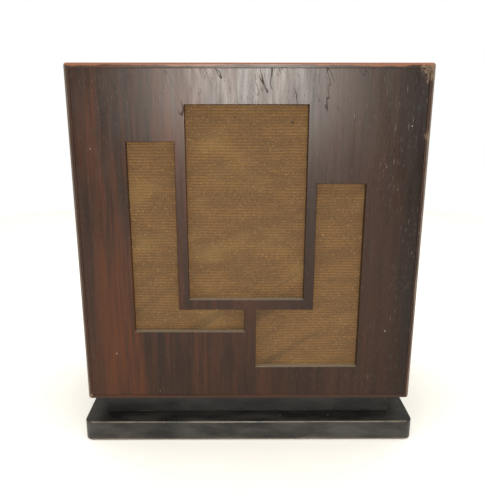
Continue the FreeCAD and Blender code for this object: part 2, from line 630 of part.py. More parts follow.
def make_unit_frame():
    """The driver's plate on the basket, the rear clamp and the two bolts between them."""
    left = "(-size.unit_plate_wide / 2 + 2)"
    levels = ("size.clamp_bolt_z", "-size.clamp_bolt_z")
    bolt_holes = [("size.clamp_bolt_x", z, "size.clamp_bolt_r") for z in levels]
    plate = padded("XZ_Plane", [oblong(left, "-size.unit_plate_drop", f"({left} + size.unit_plate_wide)",
                                       "size.unit_plate_rise"),
                                ("0", "size.arm_long", "size.basket_bore_r")]
                   + bolt_holes, "size.unit_plate")
    place(plate, (SPEAKER_X, f"{UNIT_Y} - size.unit_plate", UNIT_Z))
    node(plate, "driver_plate")
    clamp = padded("XZ_Plane", [oblong("-size.clamp_left", "-size.clamp_drop", "size.clamp_wide - size.clamp_left",
                                       "size.clamp_tall - size.clamp_drop"),
                                ("0", "-size.adjuster_drop", "size.adjuster_bore_r")]
                   + bolt_holes, "size.clamp_thick")
    place(clamp, (SPEAKER_X, f"{UNIT_Y} + {UNIT_DEEP}", UNIT_Z))
    node(clamp, "driver_clamp")
    head, long = "size.clamp_bolt_r * 2", f"({UNIT_DEEP} + size.clamp_thick)"
    bolts = []
    for z in levels:
        bolt = turned([("0", "-size.unit_plate"), ("size.clamp_bolt_r", "-size.unit_plate"),
                       ("size.clamp_bolt_r", long),
                       (head, long), (head, f"{long} + size.clamp_bolt_r * 1.5"),
                       ("0", f"{long} + size.clamp_bolt_r * 1.5")])
        bolts.append(place(bolt, (f"{SPEAKER_X} + size.clamp_bolt_x", UNIT_Y, f"{UNIT_Z} + {z}"), "+y"))
    node(group(*bolts), "driver_bolts")


def make_magnet():
    """A horseshoe magnet that lies on its side, with its legs either side of the reed."""
    start, bend = "-size.magnet_start", "(size.magnet_leg - size.magnet_start)"
    outer, inner = "(size.magnet_bar + size.magnet_gap / 2)", "(size.magnet_gap / 2)"
    deep = UNIT_DEEP
    near, far = "size.magnet_bar", "(size.magnet_bar + size.magnet_gap)"
    body = padded("XY_Plane", [[(start, "0"), (bend, "0", outer), (plus(bend, outer), REED_Y, outer), (bend, deep),
                                (start, deep), (start, far), (bend, far, f"-{inner}"),
                                (plus(bend, inner), REED_Y, f"-{inner}"), (bend, near), (start, near)]],
                  "size.magnet_tall")
    place(body, (SPEAKER_X, UNIT_Y, f"{UNIT_Z} - size.magnet_tall / 2"))
    node(body, "horseshoe_magnet")


def make_pole_pieces():
    """Two C-shaped iron poles, whose tips face the reed from the front and from the back."""
    half, tip, spine = "size.pole_half", "size.pole_tip", "size.pole_spine"
    reach = "(size.magnet_gap / 2 - size.reed_thick / 2 - size.air_gap)"
    root = f"({half} - {tip})"
    poles = []
    front = f"{UNIT_Y} + size.magnet_bar"
    for turn, level in ((0, front), (180, f"{front} + size.magnet_gap")):
        body = padded("YZ_Plane", [[("0", f"-{half}"), (reach, f"-{half}"), (reach, f"-{root}"), (spine, f"-{root}"),
                                    (spine, root), (reach, root), (reach, half),
                                    ("0", half)]], "size.pole_wide")
        side = "-size.pole_wide / 2" if turn == 0 else "size.pole_wide / 2"
        poles.append(place(body, (f"{SPEAKER_X} + {side}", level, UNIT_Z), "+z", turn))
    node(group(*poles), "pole_pieces")


def make_bobbin():
    """The driver coil's bobbin, with a slot for the reed and bearings for its pivots, and the winding on it."""
    x, tall = "size.bobbin_half", "size.bobbin_tall"
    near = "(size.magnet_bar + size.pole_spine + size.bobbin_clear)"
    far = "(size.magnet_bar + size.magnet_gap - size.pole_spine - size.bobbin_clear)"
    flange = "size.bobbin_flange"
    y_flange = f"({far} - {near})"

    def unit_box(size, corner):
        x0, y0, z0 = corner
        return box(size, (f"{SPEAKER_X} + {x0}", f"{UNIT_Y} + {y0}", f"{UNIT_Z} + {z0}"))

    cheeks = [unit_box((f"2 * {x}", y_flange, flange), (f"-{x}", near, z))
              for z in (f"-{tall} / 2", f"{tall} / 2 - {flange}")]
    core = unit_box(("2 * size.core_half", "size.core_deep", tall),
                    ("-size.core_half", f"{REED_Y} - size.core_deep / 2", f"-{tall} / 2"))
    slot = unit_box(("2 * size.slot_half", "size.slot_deep", f"{tall} * 2"),
                    ("-size.slot_half", f"{REED_Y} - size.slot_deep / 2", f"-{tall}"))
    pin_at = (f"{SPEAKER_X} - size.core_half", f"{UNIT_Y} + {REED_Y}", UNIT_Z)
    hole = rod("size.pivot_bore_r", "2 * size.core_half", pin_at, "+x")
    node(cut(fuse(core, *cheeks), slot, hole), "coil_bobbin")
    room = f"({tall} - 2 * {flange})"
    wire = unit_box((f"2 * ({x} - 0.6)", f"({y_flange} - 1.2)", room),
                    (f"-({x} - 0.6)", f"{near} + 0.6", f"-{room} / 2"))
    inside = unit_box(("2 * size.core_half", "size.core_deep", room),
                      ("-size.core_half", f"{REED_Y} - size.core_deep / 2", f"-{room} / 2"))
    node(cut(wire, inside), "driver_winding")


def make_reed():
    """The rocking reed: a flat iron bar on a barrel with two pivots, and an arm up to the drive rod."""
    reed = padded("XZ_Plane", [[("-size.reed_half", "-size.reed_tail"), ("size.reed_half", "-size.reed_tail"),
                                ("size.reed_half", "size.reed_top"), ("size.arm_half", "size.reed_top + 2"),
                                ("size.arm_half", "size.arm_long + size.arm_past"),
                                ("-size.arm_half", "size.arm_long + size.arm_past"),
                                ("-size.arm_half", "size.reed_top + 2"),
                                ("-size.reed_half", "size.reed_top")],
                               ("0", "size.arm_long", "size.rod_r + 0.35")], "size.reed_thick")
    place(reed, (SPEAKER_X, f"{UNIT_Y} + {REED_Y} - size.reed_thick / 2", UNIT_Z))
    level = f"{UNIT_Y} + {REED_Y}"
    barrel = rod("size.barrel_r", "2 * size.reed_half", (f"{SPEAKER_X} - size.reed_half", level, UNIT_Z), "+x")
    pivots = rod("size.pivot_r", "2 * size.core_half", (f"{SPEAKER_X} - size.core_half", level, UNIT_Z), "+x")
    node(fuse(reed, barrel, pivots), "armature_reed")


def make_adjuster():
    """The screw that centres the reed, with a fluted knob on its rear end."""
    tip, long = "size.adjuster_tip", "size.adjuster_long"
    body = turned([("0", "0"), ("size.adjuster_r - 0.6", "0"), ("size.adjuster_r", "0.6"),
                   ("size.adjuster_r", long),
                   ("size.adjuster_knob_r", long),
                   ("size.adjuster_knob_r", f"{long} + size.adjuster_knob_tall - 1"),
                   ("size.adjuster_knob_r - 1", f"{long} + size.adjuster_knob_tall"),
                   ("0", f"{long} + size.adjuster_knob_tall")])
    flutes_at = "size.adjuster_knob_r + 0.3"
    pocket_through(body, "XY_Plane", [(flutes_at, "0", "0.9")], 16)
    level = f"{UNIT_Y} + {REED_Y} + size.reed_thick / 2 + {tip}"
    place(body, (SPEAKER_X, level, f"{UNIT_Z} - size.adjuster_drop"), "+y")
    node(body, "adjusting_screw")


# ---------------------------------------------------------------- tuning condenser, dial and knob

def on_tuner(body, y, turn=0):
    """Puts a piece on the tuner's axis at a depth given from the control panel's inner face."""
    return place(body, ("size.tuner_x", f"{PANEL_BACK} + {y}", TUNER_Z), "+y", turn)


def tuner_posts():
    """Where the three spacer posts stand: one above the shaft and two low at the sides."""
    ring, angle = "size.post_ring", "size.post_angle"
    side, low = f"({ring} * cos({angle}))", f"(-{ring} * sin({angle}))"
    return [("0", ring), (side, low), (f"-{side}", low)]


def make_tuner_frame():
    """Two end plates, and the three posts that hold them apart."""
    plates = []
    for y in ("-size.end_plate", "-size.tuner_deep"):
        bore = "size.bush_r" if y == "-size.end_plate" else "size.shaft_bore_r"
        holes = [(px, pz, "size.post_r - 1") for px, pz in tuner_posts()]
        body = padded("XZ_Plane", [oblong("-size.end_half", "-size.end_drop", "size.end_half", "size.end_rise"),
                                   ("0", "0", bore)] + holes, "size.end_plate")
        side = number("size.end_half") - 0.1
        rounded(body, "5", lambda edge: along(edge, 1) and abs(edge.Vertexes[0].X) > side)
        plates.append(place(body, ("size.tuner_x", f"{PANEL_BACK} + {y}", TUNER_Z)))
    node(group(*plates), "tuner_end_plates")
    posts = []
    inner = "(size.tuner_deep - 2 * size.end_plate)"
    for px, pz in tuner_posts():
        post = turned([("0", "-size.end_plate"), ("size.post_r - 1", "-size.end_plate"),
                       ("size.post_r - 1", "0"),
                       ("size.post_r", "0"), ("size.post_r", inner), ("size.post_r - 1", inner),
                       ("size.post_r - 1", f"{inner} + size.end_plate"), ("0", f"{inner} + size.end_plate")])
        at = (f"size.tuner_x + {px}", f"{PANEL_BACK} - size.tuner_deep + size.end_plate", f"{TUNER_Z} + {pz}")
        posts.append(place(post, at, "+y"))
    node(group(*posts), "tuner_posts")


def make_vanes():
    """Eight fixed vanes on the two low posts, and seven half-round moving vanes on the shaft."""
    r, notch, lug = "size.stator_r", "size.stator_notch_r", "size.lug_r"
    fixed = []
    for index in range(8):
        body = padded("XZ_Plane", [[(f"-{r}", "0", r), ("0", f"-{r}", r), (r, "0"), (notch, "0", f"-{notch}"),
                                    ("0", f"-{notch}", f"-{notch}"), (f"-{notch}", "0")]], "size.plate_thick")
        y = f"{PANEL_BACK} - size.tuner_deep + size.first_plate + {index} * size.plate_pitch"
        vane = place(body, ("size.tuner_x", y, TUNER_Z))
        for px, pz in tuner_posts()[1:]:
            eye = rod(lug, "size.plate_thick", (f"size.tuner_x + {px}", y, f"{TUNER_Z} + {pz}"), "+y")
            vane = fuse(vane, eye)
        for px, pz in tuner_posts()[1:]:
            centre = (f"size.tuner_x + {px}", y, f"{TUNER_Z} + {pz}")
            hole = rod("size.post_r", "size.plate_thick", centre, "+y")
            vane = cut(vane, hole)
        fixed.append(vane)
    node(group(*fixed), "fixed_vanes")
    r, hub, shaft = "size.rotor_r", "size.rotor_hub_r", "size.shaft_r"
    moving = []
    for index in range(7):
        body = padded("XZ_Plane", [[(f"-{r}", "0", r), ("0", f"-{r}", r), (r, "0"), (hub, "0", hub), ("0", hub, hub),
                                    (f"-{hub}", "0")], ("0", "0", shaft)], "size.plate_thick")
        y = f"{PANEL_BACK} - size.tuner_deep + size.first_plate + ({index} + 0.5) * size.plate_pitch"
        moving.append(place(body, ("size.tuner_x", y, TUNER_Z)))
    node(group(*moving), "moving_vanes")


def make_tuner_shaft():
    """The tuning shaft, and the hexagon-headed bush it runs in, which holds the condenser to the panel."""
    tail = "size.tuner_deep + size.shaft_tail"
    length = f"{tail} + size.panel_thick + size.shaft_nose"
    body = turned([("0", "0"), ("size.shaft_r", "0"), ("size.shaft_r", length), ("0", length)])
    node(on_tuner(body, f"-({tail})"), "tuning_shaft")
    nose = "(size.end_plate + size.panel_thick + size.bush_nose)"
    bush = turned([("size.shaft_bore_r", "0"), ("size.bush_r", "0"), ("size.bush_r", nose),
                   ("size.shaft_bore_r", nose)])
    head = hex_nut("size.bush_head_across", "size.shaft_bore_r", "size.bush_head_thick")
    node(fuse(on_tuner(bush, "-size.end_plate"), on_tuner(head, "size.panel_thick")), "shaft_bush")


def hex_nut(across, bore, thick):
    """A plain hexagon nut about its own Z."""
    corner = f"({across} / sqrt(3))"
    points = [(f"{corner} * cos({60 * i})", f"{corner} * sin({60 * i})") for i in range(6)]
    return padded("XY_Plane", [points, ("0", "0", bore)], thick)


def make_dial():
    """The bevelled dial and the fluted knob, both fast on the shaft, and the panel's fixed pointer."""
    bore, edge = "size.shaft_r", "size.dial_edge"
    dial = turned([(bore, "0"), ("size.dial_r", "0"), ("size.dial_r", edge),
                   ("size.dial_inner_r", "size.dial_thick"),
                   (bore, "size.dial_thick")])
    node(on_tuner(dial, "size.panel_thick + size.dial_gap"), "tuning_dial")
    r, top, tall = "size.knob_r", "size.knob_top_r", "size.knob_tall"
    crown = "2.5"
    knob = turned([("size.shaft_r", "0"), (r, "0"), (r, "1.5"), (minus(r, "1"), "2.5"),
                   (top, f"{tall} - {crown}", crown),
                   (minus(top, crown), tall), ("0", tall),
                   ("0", "size.shaft_nose - size.dial_gap - size.dial_thick"),
                   ("size.shaft_r", "size.shaft_nose - size.dial_gap - size.dial_thick")])
    pocket_through(knob, "XY_Plane", [(plus(r, "0.4"), "0", "size.knob_flute_r")], 24)
    node(on_tuner(knob, "size.panel_thick + size.dial_gap + size.dial_thick"), "tuning_knob")
    foot = "(size.dial_r + size.pointer_gap)"
    half = "size.pointer_wide / 2"
    pointer = padded("XZ_Plane", [[("0", foot), (half, f"{foot} + size.pointer_long * 0.6"),
                                   (half, f"{foot} + size.pointer_long"),
                                   (f"-{half}", f"{foot} + size.pointer_long"),
                                   (f"-{half}", f"{foot} + size.pointer_long * 0.6")]], "size.pointer_thick")
    node(place(pointer, ("size.tuner_x", PANEL_FACE, TUNER_Z)), "dial_pointer")


# ---------------------------------------------------------------- tapping switch

def make_switch():
    """Five contact studs on an arc, the brass arm with its shaft's collar above them, and the knob."""
    studs = []
    for step in range(-2, 3):
        angle = f"({step} * size.stud_step)"
        x = f"-size.switch_x + size.stud_ring * sin({angle})"
        z = f"{SWITCH_Z} + size.stud_ring * cos({angle})"
        stud = turned([("0", "0"), ("size.stud_r", "0"), ("size.stud_r", "size.stud_rise - 1", "1"),
                       ("size.stud_r - 1", "size.stud_rise"), ("0", "size.stud_rise")])
        studs.append(place(stud, (x, PANEL_FACE, z), "+y"))
    node(group(*studs), "contact_studs")
    level = f"{PANEL_FACE} + size.stud_rise + size.arm_gap"
    half = "size.arm_wide / 2"
    tip = "size.stud_ring"
    arm = padded("XZ_Plane", [[(f"-{half}", "0", half), ("0", f"-{half}", half), (half, "0"),
                               (half + " * 0.7", tip, half + " * 0.7"),
                               ("0", f"{tip} + {half} * 0.7", half + " * 0.7"), (f"-{half} * 0.7", tip)],
                              ("0", "0", "size.switch_shaft_r")], "size.arm_thick")
    collar = turned([("size.switch_shaft_r", "0"), ("size.collar_r", "0"),
                     ("size.collar_r", "size.collar_thick"),
                     ("size.switch_shaft_r", "size.collar_thick")])
    place(arm, ("-size.switch_x", level, SWITCH_Z))
    place(collar, ("-size.switch_x", f"{PANEL_BACK} - size.arm_gap - size.collar_thick", SWITCH_Z), "+y")
    node(group(arm, collar), "switch_arm")
    behind = "(size.stud_rise + size.arm_gap + size.panel_thick + size.switch_shaft_tail)"
    r, tall, leaf = "size.switch_knob_r", "size.switch_knob_tall", "size.arm_thick"
    knob = turned([("0", f"-{behind}"), ("size.switch_shaft_r", f"-{behind}"),
                   ("size.switch_shaft_r", leaf), (r, leaf),
                   (r, plus(leaf, "1.2")), (minus(r, "1.5"), plus(leaf, "2.4")),
                   (minus(r, "2.5"), plus(leaf, tall, "-2"), "2"),
                   (minus(r, "4.5"), plus(leaf, tall)), ("0", plus(leaf, tall))])
    pocket_through(knob, "XY_Plane", [(plus(r, "0.2"), "0", "1.1")], 18)
    node(place(knob, ("-size.switch_x", level, SWITCH_Z), "+y"), "switch_knob")


# ---------------------------------------------------------------- crystal detector

def on_detector(body, x, toward="+x"):
    """Lays a piece on the detector's axis at a distance from its middle."""
    return place(body, (f"-size.detector_x + {x}", DETECTOR_Y, DETECTOR_Z), toward)


def make_detector():
    """Two pillars with caps that hold a glass tube: one cap is the crystal's cup, the other holds a ball joint."""
    pillars = []
    for side in ("-", ""):
        pillar = turned([("0", "0"), ("size.pillar_r + 2", "0"), ("size.pillar_r + 2", "1.5"),
                         ("size.pillar_r", "2.5"),
                         ("size.pillar_r", "size.detector_rise - size.cap_r + 1"),
                         ("0", "size.detector_rise - size.cap_r + 1")])
        foot = (f"-size.detector_x {side or '+'} (size.cap_reach + size.cap_long / 2)", PANEL_FACE, DETECTOR_Z)
        pillars.append(place(pillar, foot, "+y"))
    seat, r, long = "size.glass_into_cap", "size.cap_r", "size.cap_long"
    wall = "1.5"
    cup_mouth = f"({seat} - size.cup_long)"
    near = turned([("0", minus(seat, wall)), ("size.crystal_r", minus(seat, wall)),
                   ("size.crystal_r", cup_mouth),
                   ("size.cup_r", cup_mouth), ("size.cup_r", seat), ("size.glass_r", seat),
                   ("size.glass_r", "0"),
                   (r, "0"), (r, minus(long, "1"), "1"), (minus(r, "1"), long), ("0", long)])
    depth = "(size.glass_into_cap + (size.cap_long - size.glass_into_cap) / 2)"
    seat_half = "sqrt(size.ball_seat_r ^ 2 - size.cap_mouth_r ^ 2)"
    far = turned([("size.cap_mouth_r", seat), ("size.glass_r", seat), ("size.glass_r", "0"), (r, "0"),
                  (r, minus(long, "1"), "1"), (minus(r, "1"), long), ("size.cap_mouth_r", long),
                  ("size.cap_mouth_r", plus(depth, seat_half), "-size.ball_seat_r"),
                  ("size.cap_mouth_r", minus(depth, seat_half))])
    middle = plus("size.cap_reach", depth)
    caps = [cut(on_detector(near, "-size.cap_reach", "-x"), pillars[0]),
            cut(on_detector(far, "size.cap_reach"), pillars[1])]
    node(group(*pillars), "detector_pillars")
    node(group(*caps), "detector_caps")
    glass = turned([("size.glass_bore_r", "0"), ("size.glass_r", "0"),
                    ("size.glass_r", "2 * (size.cap_reach + size.glass_into_cap)"),
                    ("size.glass_bore_r", "2 * (size.cap_reach + size.glass_into_cap)")])
    node(on_detector(glass, "-(size.cap_reach + size.glass_into_cap)"), "detector_glass")
    start = "-(size.cap_reach + size.glass_into_cap)"
    length = "(size.cup_long - 1.5 + size.crystal_proud)"
    lump = turned([("0", "0"), ("size.crystal_r", "0"), ("size.crystal_r", minus(length, "1")),
                   ("size.crystal_r - 0.8", length),
                   ("0", length)])
    node(on_detector(lump, f"{start} + 1.5"), "galena_crystal")
    ball_half = "sqrt(size.ball_r ^ 2 - size.whisker_rod_r ^ 2)"
    joint = turned([("size.whisker_rod_r", f"-{ball_half}", "size.ball_r"),
                    ("size.whisker_rod_r", ball_half)])
    node(on_detector(joint, middle), "detector_ball")
    spindle = rod("size.whisker_rod_r - 0.05", "size.rod_inside + size.rod_outside",
                  (f"-size.detector_x + {middle} - size.rod_inside", DETECTOR_Y, DETECTOR_Z), "+x")
    node(spindle, "whisker_rod")
    grip, rod_end = "size.whisker_knob_r", f"({middle} + size.rod_outside)"
    knob = turned([("0", "0"), (minus(grip, "2.5"), "0"), (grip, "2"),
                   (grip, "size.whisker_knob_long - 1.5", "1.5"),
                   (minus(grip, "1.5"), "size.whisker_knob_long"), ("0", "size.whisker_knob_long")])
    node(on_detector(knob, rod_end), "whisker_knob")
    tip = f"({start} + 1.5 + {length} + size.whisker_gap)"
    reach = f"({middle} - size.rod_inside - {tip})"
    wire = turned([("0", "0"), ("size.whisker_wall", "0"), ("size.whisker_wall", f"{reach} * 0.3"),
                   ("size.whisker_r", f"{reach} * 0.45"), ("size.whisker_r", f"{reach} * 0.9"),
                   ("size.whisker_wall", reach),
                   ("0", reach)])
    node(on_detector(wire, tip), "cat_whisker")


# ---------------------------------------------------------------- terminals

def terminal_places():
    """x and height above the cabinet's underside: aerial, earth, and the two phone terminals."""
    levels = ("size.terminal_high", "size.terminal_low")
    return [(x, z) for x in ("size.terminal_x", "-size.terminal_x") for z in levels]


def make_terminals():
    """Four bored terminal posts with a hexagon nut behind the panel, and a thumb nut on each."""
    names = ("aerial_nut", "earth_nut", "phone_nut_upper", "phone_nut_lower")
    posts, nuts = [], []
    foot, stem = "size.terminal_foot", "(size.terminal_foot + size.terminal_stem)"
    tail = "(size.panel_thick + size.terminal_tail)"
    for name, (x, z) in zip(names, terminal_places()):
        at = (x, PANEL_FACE, f"{CAB_BASE} + {z}")
        bored = minus(stem, "size.terminal_bore")
        post = turned([("0", f"-{tail}"), ("size.terminal_tail_r", f"-{tail}"), ("size.terminal_tail_r", "0"),
                       ("size.terminal_foot_r", "0"), ("size.terminal_foot_r", minus(foot, "0.8")),
                       ("size.terminal_foot_r - 0.8", foot), ("size.terminal_stem_r", foot),
                       ("size.terminal_stem_r", stem), ("size.terminal_bore_r", stem),
                       ("size.terminal_bore_r", bored),
                       ("0", bored)])
        posts.append(place(post, at, "+y"))
        nut = hex_nut("size.hex_across", "size.terminal_tail_r", "size.hex_thick")
        nuts.append(place(nut, (x, f"{PANEL_BACK} - size.hex_thick", at[2]), "+y", 15))
        r, tall = "size.thumb_r", "size.thumb_tall"
        thumb = turned([("size.thumb_bore_r", "0"), (r, "0"), (r, minus(tall, "1.5"), "1.5"),
                        (minus(r, "1.5"), tall),
                        ("size.thumb_bore_r", tall)])
        DOC.recompute()
        pocket_through(thumb, "XY_Plane", [(plus(r, "0.3"), "0", "0.7")], 20)
        place(thumb, (x, f"{PANEL_FACE} + {foot} + size.thumb_gap", at[2]), "+y")
        node(thumb, name)
    node(group(*posts), "terminal_posts")
    node(group(*nuts), "terminal_hex_nuts")


# ---------------------------------------------------------------- coil

def make_coil():
    """The tuning coil: a paxolin tube with one close winding, on two wooden cradles."""
    end = f"(-size.coil_x - size.former_long / 2)"
    level = f"({FLOOR} + size.coil_lift)"
    former = turned([("size.former_r - size.former_wall", "0"), ("size.former_r", "0"),
                     ("size.former_r", "size.former_long"),
                     ("size.former_r - size.former_wall", "size.former_long")])
    node(place(former, (end, "size.coil_y", level), "+x"), "coil_former")
    winding = turned([("size.former_r", "0"), (plus("size.former_r", "size.winding_thick"), "0"),
                      (plus("size.former_r", "size.winding_thick"), "size.winding_long"),
                      ("size.former_r", "size.winding_long")])
    start = "(-size.coil_x - size.winding_long / 2)"
    node(place(winding, (start, "size.coil_y", level), "+x"), "coil_winding")
    cradles = []
    for x in (end, f"({end} + size.former_long - size.cradle_thick)"):
        block = box(("size.cradle_thick", "2 * size.cradle_half", "size.cradle_rise"),
                    (x, "size.coil_y - size.cradle_half", FLOOR))
        bed = rod("size.former_r", "size.cradle_thick", (x, "size.coil_y", level), "+x")
        cradles.append(cut(block, bed))
    node(group(*cradles), "coil_cradles")


def main():
    for make in (make_base_felt, make_base_board, make_neck_board, make_carcass, make_plinth_screws, make_fret_panel,
                 make_grille_cloth, make_baffle_board, make_battens, make_back_panel, make_control_panel,
                 make_cabinet_screws, make_basket, make_cone, make_speaker_screws, make_unit_frame, make_magnet,
                 make_pole_pieces, make_bobbin, make_reed, make_adjuster, make_tuner_frame, make_vanes,
                 make_tuner_shaft, make_dial, make_switch, make_detector, make_terminals, make_coil):
        make()
    DOC.recompute()
    broken = [f"{obj.Name} ({obj.Label})" for obj in DOC.Objects if {"Invalid", "Error"} & set(obj.State)]
    bad = [obj.Label for obj in NODES if obj.Shape.isNull() or not obj.Shape.isValid() or not obj.Shape.Solids]
    if broken or bad:
        raise RuntimeError(f"failed objects: {broken}, bad shapes: {bad}")
    os.makedirs("parts", exist_ok=True)
    for obj in NODES:
        obj.Shape.exportStep(f"parts/{obj.Label}.step")
        print(f"{obj.Label}: {len(obj.Shape.Solids)} solids, {obj.Shape.Volume:.1f} mm3")


main()
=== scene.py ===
import logging
import math
import random
from dataclasses import dataclass, field
from enum import Enum

import bmesh
import bpy
from bmesh.types import BMesh
from bpy.types import Curve, Material, Mesh, Node, NodeOutputs, NodeSocket, NodeTree, Object
from mathutils import Matrix, Vector


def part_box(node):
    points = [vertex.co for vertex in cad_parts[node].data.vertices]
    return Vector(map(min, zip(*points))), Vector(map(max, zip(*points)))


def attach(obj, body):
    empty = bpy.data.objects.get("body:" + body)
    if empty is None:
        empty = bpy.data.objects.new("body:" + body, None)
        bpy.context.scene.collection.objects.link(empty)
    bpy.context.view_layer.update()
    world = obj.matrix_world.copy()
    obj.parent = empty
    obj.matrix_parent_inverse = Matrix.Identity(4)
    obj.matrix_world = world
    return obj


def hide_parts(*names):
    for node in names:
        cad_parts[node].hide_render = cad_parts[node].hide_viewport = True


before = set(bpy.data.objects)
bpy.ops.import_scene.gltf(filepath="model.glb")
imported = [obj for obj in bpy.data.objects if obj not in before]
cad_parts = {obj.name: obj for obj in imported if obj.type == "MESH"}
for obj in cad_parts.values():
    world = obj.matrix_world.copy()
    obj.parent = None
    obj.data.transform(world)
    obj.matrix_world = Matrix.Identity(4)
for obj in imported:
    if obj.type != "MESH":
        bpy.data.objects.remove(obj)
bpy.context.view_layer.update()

log = logging.getLogger("crystal_set")

MM = 0.001
PER_MM = 1000.0
ARRIS = 2 - math.sqrt(2)  # how far a rounded arris stands from the sharp one, for a radius of 1
BLACK = (0.0, 0.0, 0.0, 1.0)
WHITE = (1.0, 1.0, 1.0, 1.0)
SMOOTH = {"interpolation_type": "SMOOTHSTEP"}  # spreads a value gently between two levels
COLOUR = {"data_type": "RGBA"}  # mixes two colours by a share of the second


class Axis(Enum):
    """A direction that grain, brushing or turns of wire run in."""

    X = 0
    Y = 1
    Z = 2


# ---------------------------------------------------------------- shared helpers


def linear(code: str) -> tuple[float, float, float, float]:
    """Turns an sRGB hex colour to linear.

    Args:
        code: Six hex digits after a hash sign.

    Returns:
        Red, green, blue and an alpha of one.
    """
    parts = [int(code[i : i + 2], 16) / 255 for i in (1, 3, 5)]
    r, g, b = (p / 12.92 if p <= 0.04045 else ((p + 0.055) / 1.055) ** 2.4 for p in parts)
    return r, g, b, 1.0


def join(tree: NodeTree, value: object, target: NodeSocket) -> None:
    """Feeds one input of a node.

    Args:
        tree: The node tree.
        value: A number, a colour, an output, or a node, which stands for its first live output.
        target: The input.
    """
    if isinstance(value, Node):
        value = next(output for output in value.outputs if output.enabled)
    if isinstance(value, NodeSocket):
        tree.links.new(value, target)
    else:
        target.default_value = value


def add(tree: NodeTree, kind: str, *terms: object, **settings: object) -> Node:
    """Adds a node with its settings and links.

    Args:
        tree: The node tree it goes in.
        kind: The node's type name, less its prefix.
        terms: Values for its live inputs in turn, or one dictionary of values by name or number.
        settings: The node's own properties.

    Returns:
        The node.
    """
    node = tree.nodes.new("ShaderNode" + kind)
    for name, value in settings.items():
        setattr(node, name, value)
    live = [target for target in node.inputs if target.enabled]
    for target, term in zip(live, terms):
        for key, value in term.items() if isinstance(term, dict) else ((None, term),):
            join(tree, value, target if key is None else node.inputs[key])
    return node


def coordinates(tree: NodeTree) -> NodeOutputs:
    """The three parts of a point's Object coordinates."""
    return add(tree, "SeparateXYZ", {0: add(tree, "TexCoord").outputs["Object"]}).outputs


def grain_space(tree: NodeTree, across_mm: float, along_mm: float, axis: Axis, shift: float = 0.0,
                lean: float = 0.0) -> NodeSocket:
    """Object coordinates stretched so that one unit is across_mm wide and along_mm long on an axis.

    Args:
        tree: The material's node tree.
        across_mm: Width of one unit of the pattern.
        along_mm: Its length.
        axis: The direction of the length.
        shift: Moves the pattern by tenths of a metre, so that no two boards match.
        lean: Degrees that the pattern leans over in the front's plane.

    Returns:
        The stretched coordinates.
    """
    scale = [across_mm * MM] * 3
    scale[axis.value] = along_mm * MM
    wires = {"Vector": add(tree, "TexCoord").outputs["Object"],
             "Location": (shift * 0.1, shift * 0.07, shift * 0.13),
             "Rotation": (0.0, math.radians(lean), 0.0), "Scale": scale}
    return add(tree, "Mapping", wires, vector_type="TEXTURE").outputs[0]


def streaks(tree: NodeTree, across_mm: float, along_mm: float, axis: Axis, shift: float = 0.0,
            detail: float = 2.0, rough: float = 0.5, bend: float = 0.0, lean: float = 0.0) -> Node:
    """Noise in patches that are across_mm wide and along_mm long on an axis.

    Args:
        tree: The material's node tree.
        across_mm: Width of a patch.
        along_mm: Its length.
        axis: The direction of the length.
        shift: Moves the pattern, as in grain_space.
        detail: How many finer layers lie on it.
        rough: How strong those layers are.
        bend: How far the patches are pulled out of shape.
        lean: Degrees that the pattern leans over in the front's plane.

    Returns:
        The noise, from 0 to 1.
    """
    space = grain_space(tree, across_mm, along_mm, axis, shift, lean)
    wires = {"Vector": space, "Scale": 1.0, "Detail": detail, "Roughness": rough, "Distortion": bend}
    return add(tree, "TexNoise", wires)


def laid(tree: NodeTree, under: object, code: str, pattern: object, low: float, high: float,
         most: float = 1.0) -> Node:
    """Lays a colour over another where a pattern runs from one level to another.

    Args:
        tree: The material's node tree.
        under: The colour beneath.
        code: The hex colour laid over it.
        pattern: What says where.
        low: The pattern's level where none shows.
        high: Its level where the most shows.
        most: The greatest share of the colour above.

    Returns:
        The mixed colour.
    """
    share = add(tree, "MapRange", pattern, low, high, 0.0, most, **SMOOTH)
    return add(tree, "Mix", share, under, linear(code), **COLOUR)


def specks(tree: NodeTree, space: NodeSocket, bare_share: float, most: float) -> Node:
    """Round specks in some of a space's cells, a tenth of a cell across and faint at the rim.

    Args:
        tree: The material's node tree.
        space: Coordinates in which a cell is one unit wide.
        bare_share: The share of cells that have no speck.
        most: How strong a speck is in its middle.

    Returns:
        The share of speck.
    """
    cells = add(tree, "TexVoronoi", {"Vector": space, "Scale": 1.0})
    luck = add(tree, "SeparateColor", {0: cells.outputs["Color"]}).outputs[0]
    dot = add(tree, "MapRange", cells.outputs["Distance"], 0.05, 0.02, **SMOOTH)
    kept = add(tree, "MapRange", luck, bare_share, bare_share + 0.04, **SMOOTH)
    return add(tree, "Math", add(tree, "Math", dot, kept, operation="MULTIPLY"), most, operation="MULTIPLY")


def raise_surface(tree: NodeTree, shader: Node, height: Node, depth_mm: float, strength: float) -> None:
    """Gives the shader a bump of a real depth.

    Args:
        tree: The material's node tree.
        shader: Its principled shader.
        height: The relief, from 0 to about 1.
        depth_mm: How deep one unit of the relief is.
        strength: The share of the bump that shows.
    """
    wires = {"Height": height, "Distance": depth_mm * MM, "Strength": strength}
    join(tree, add(tree, "Bump", wires), shader.inputs["Normal"])


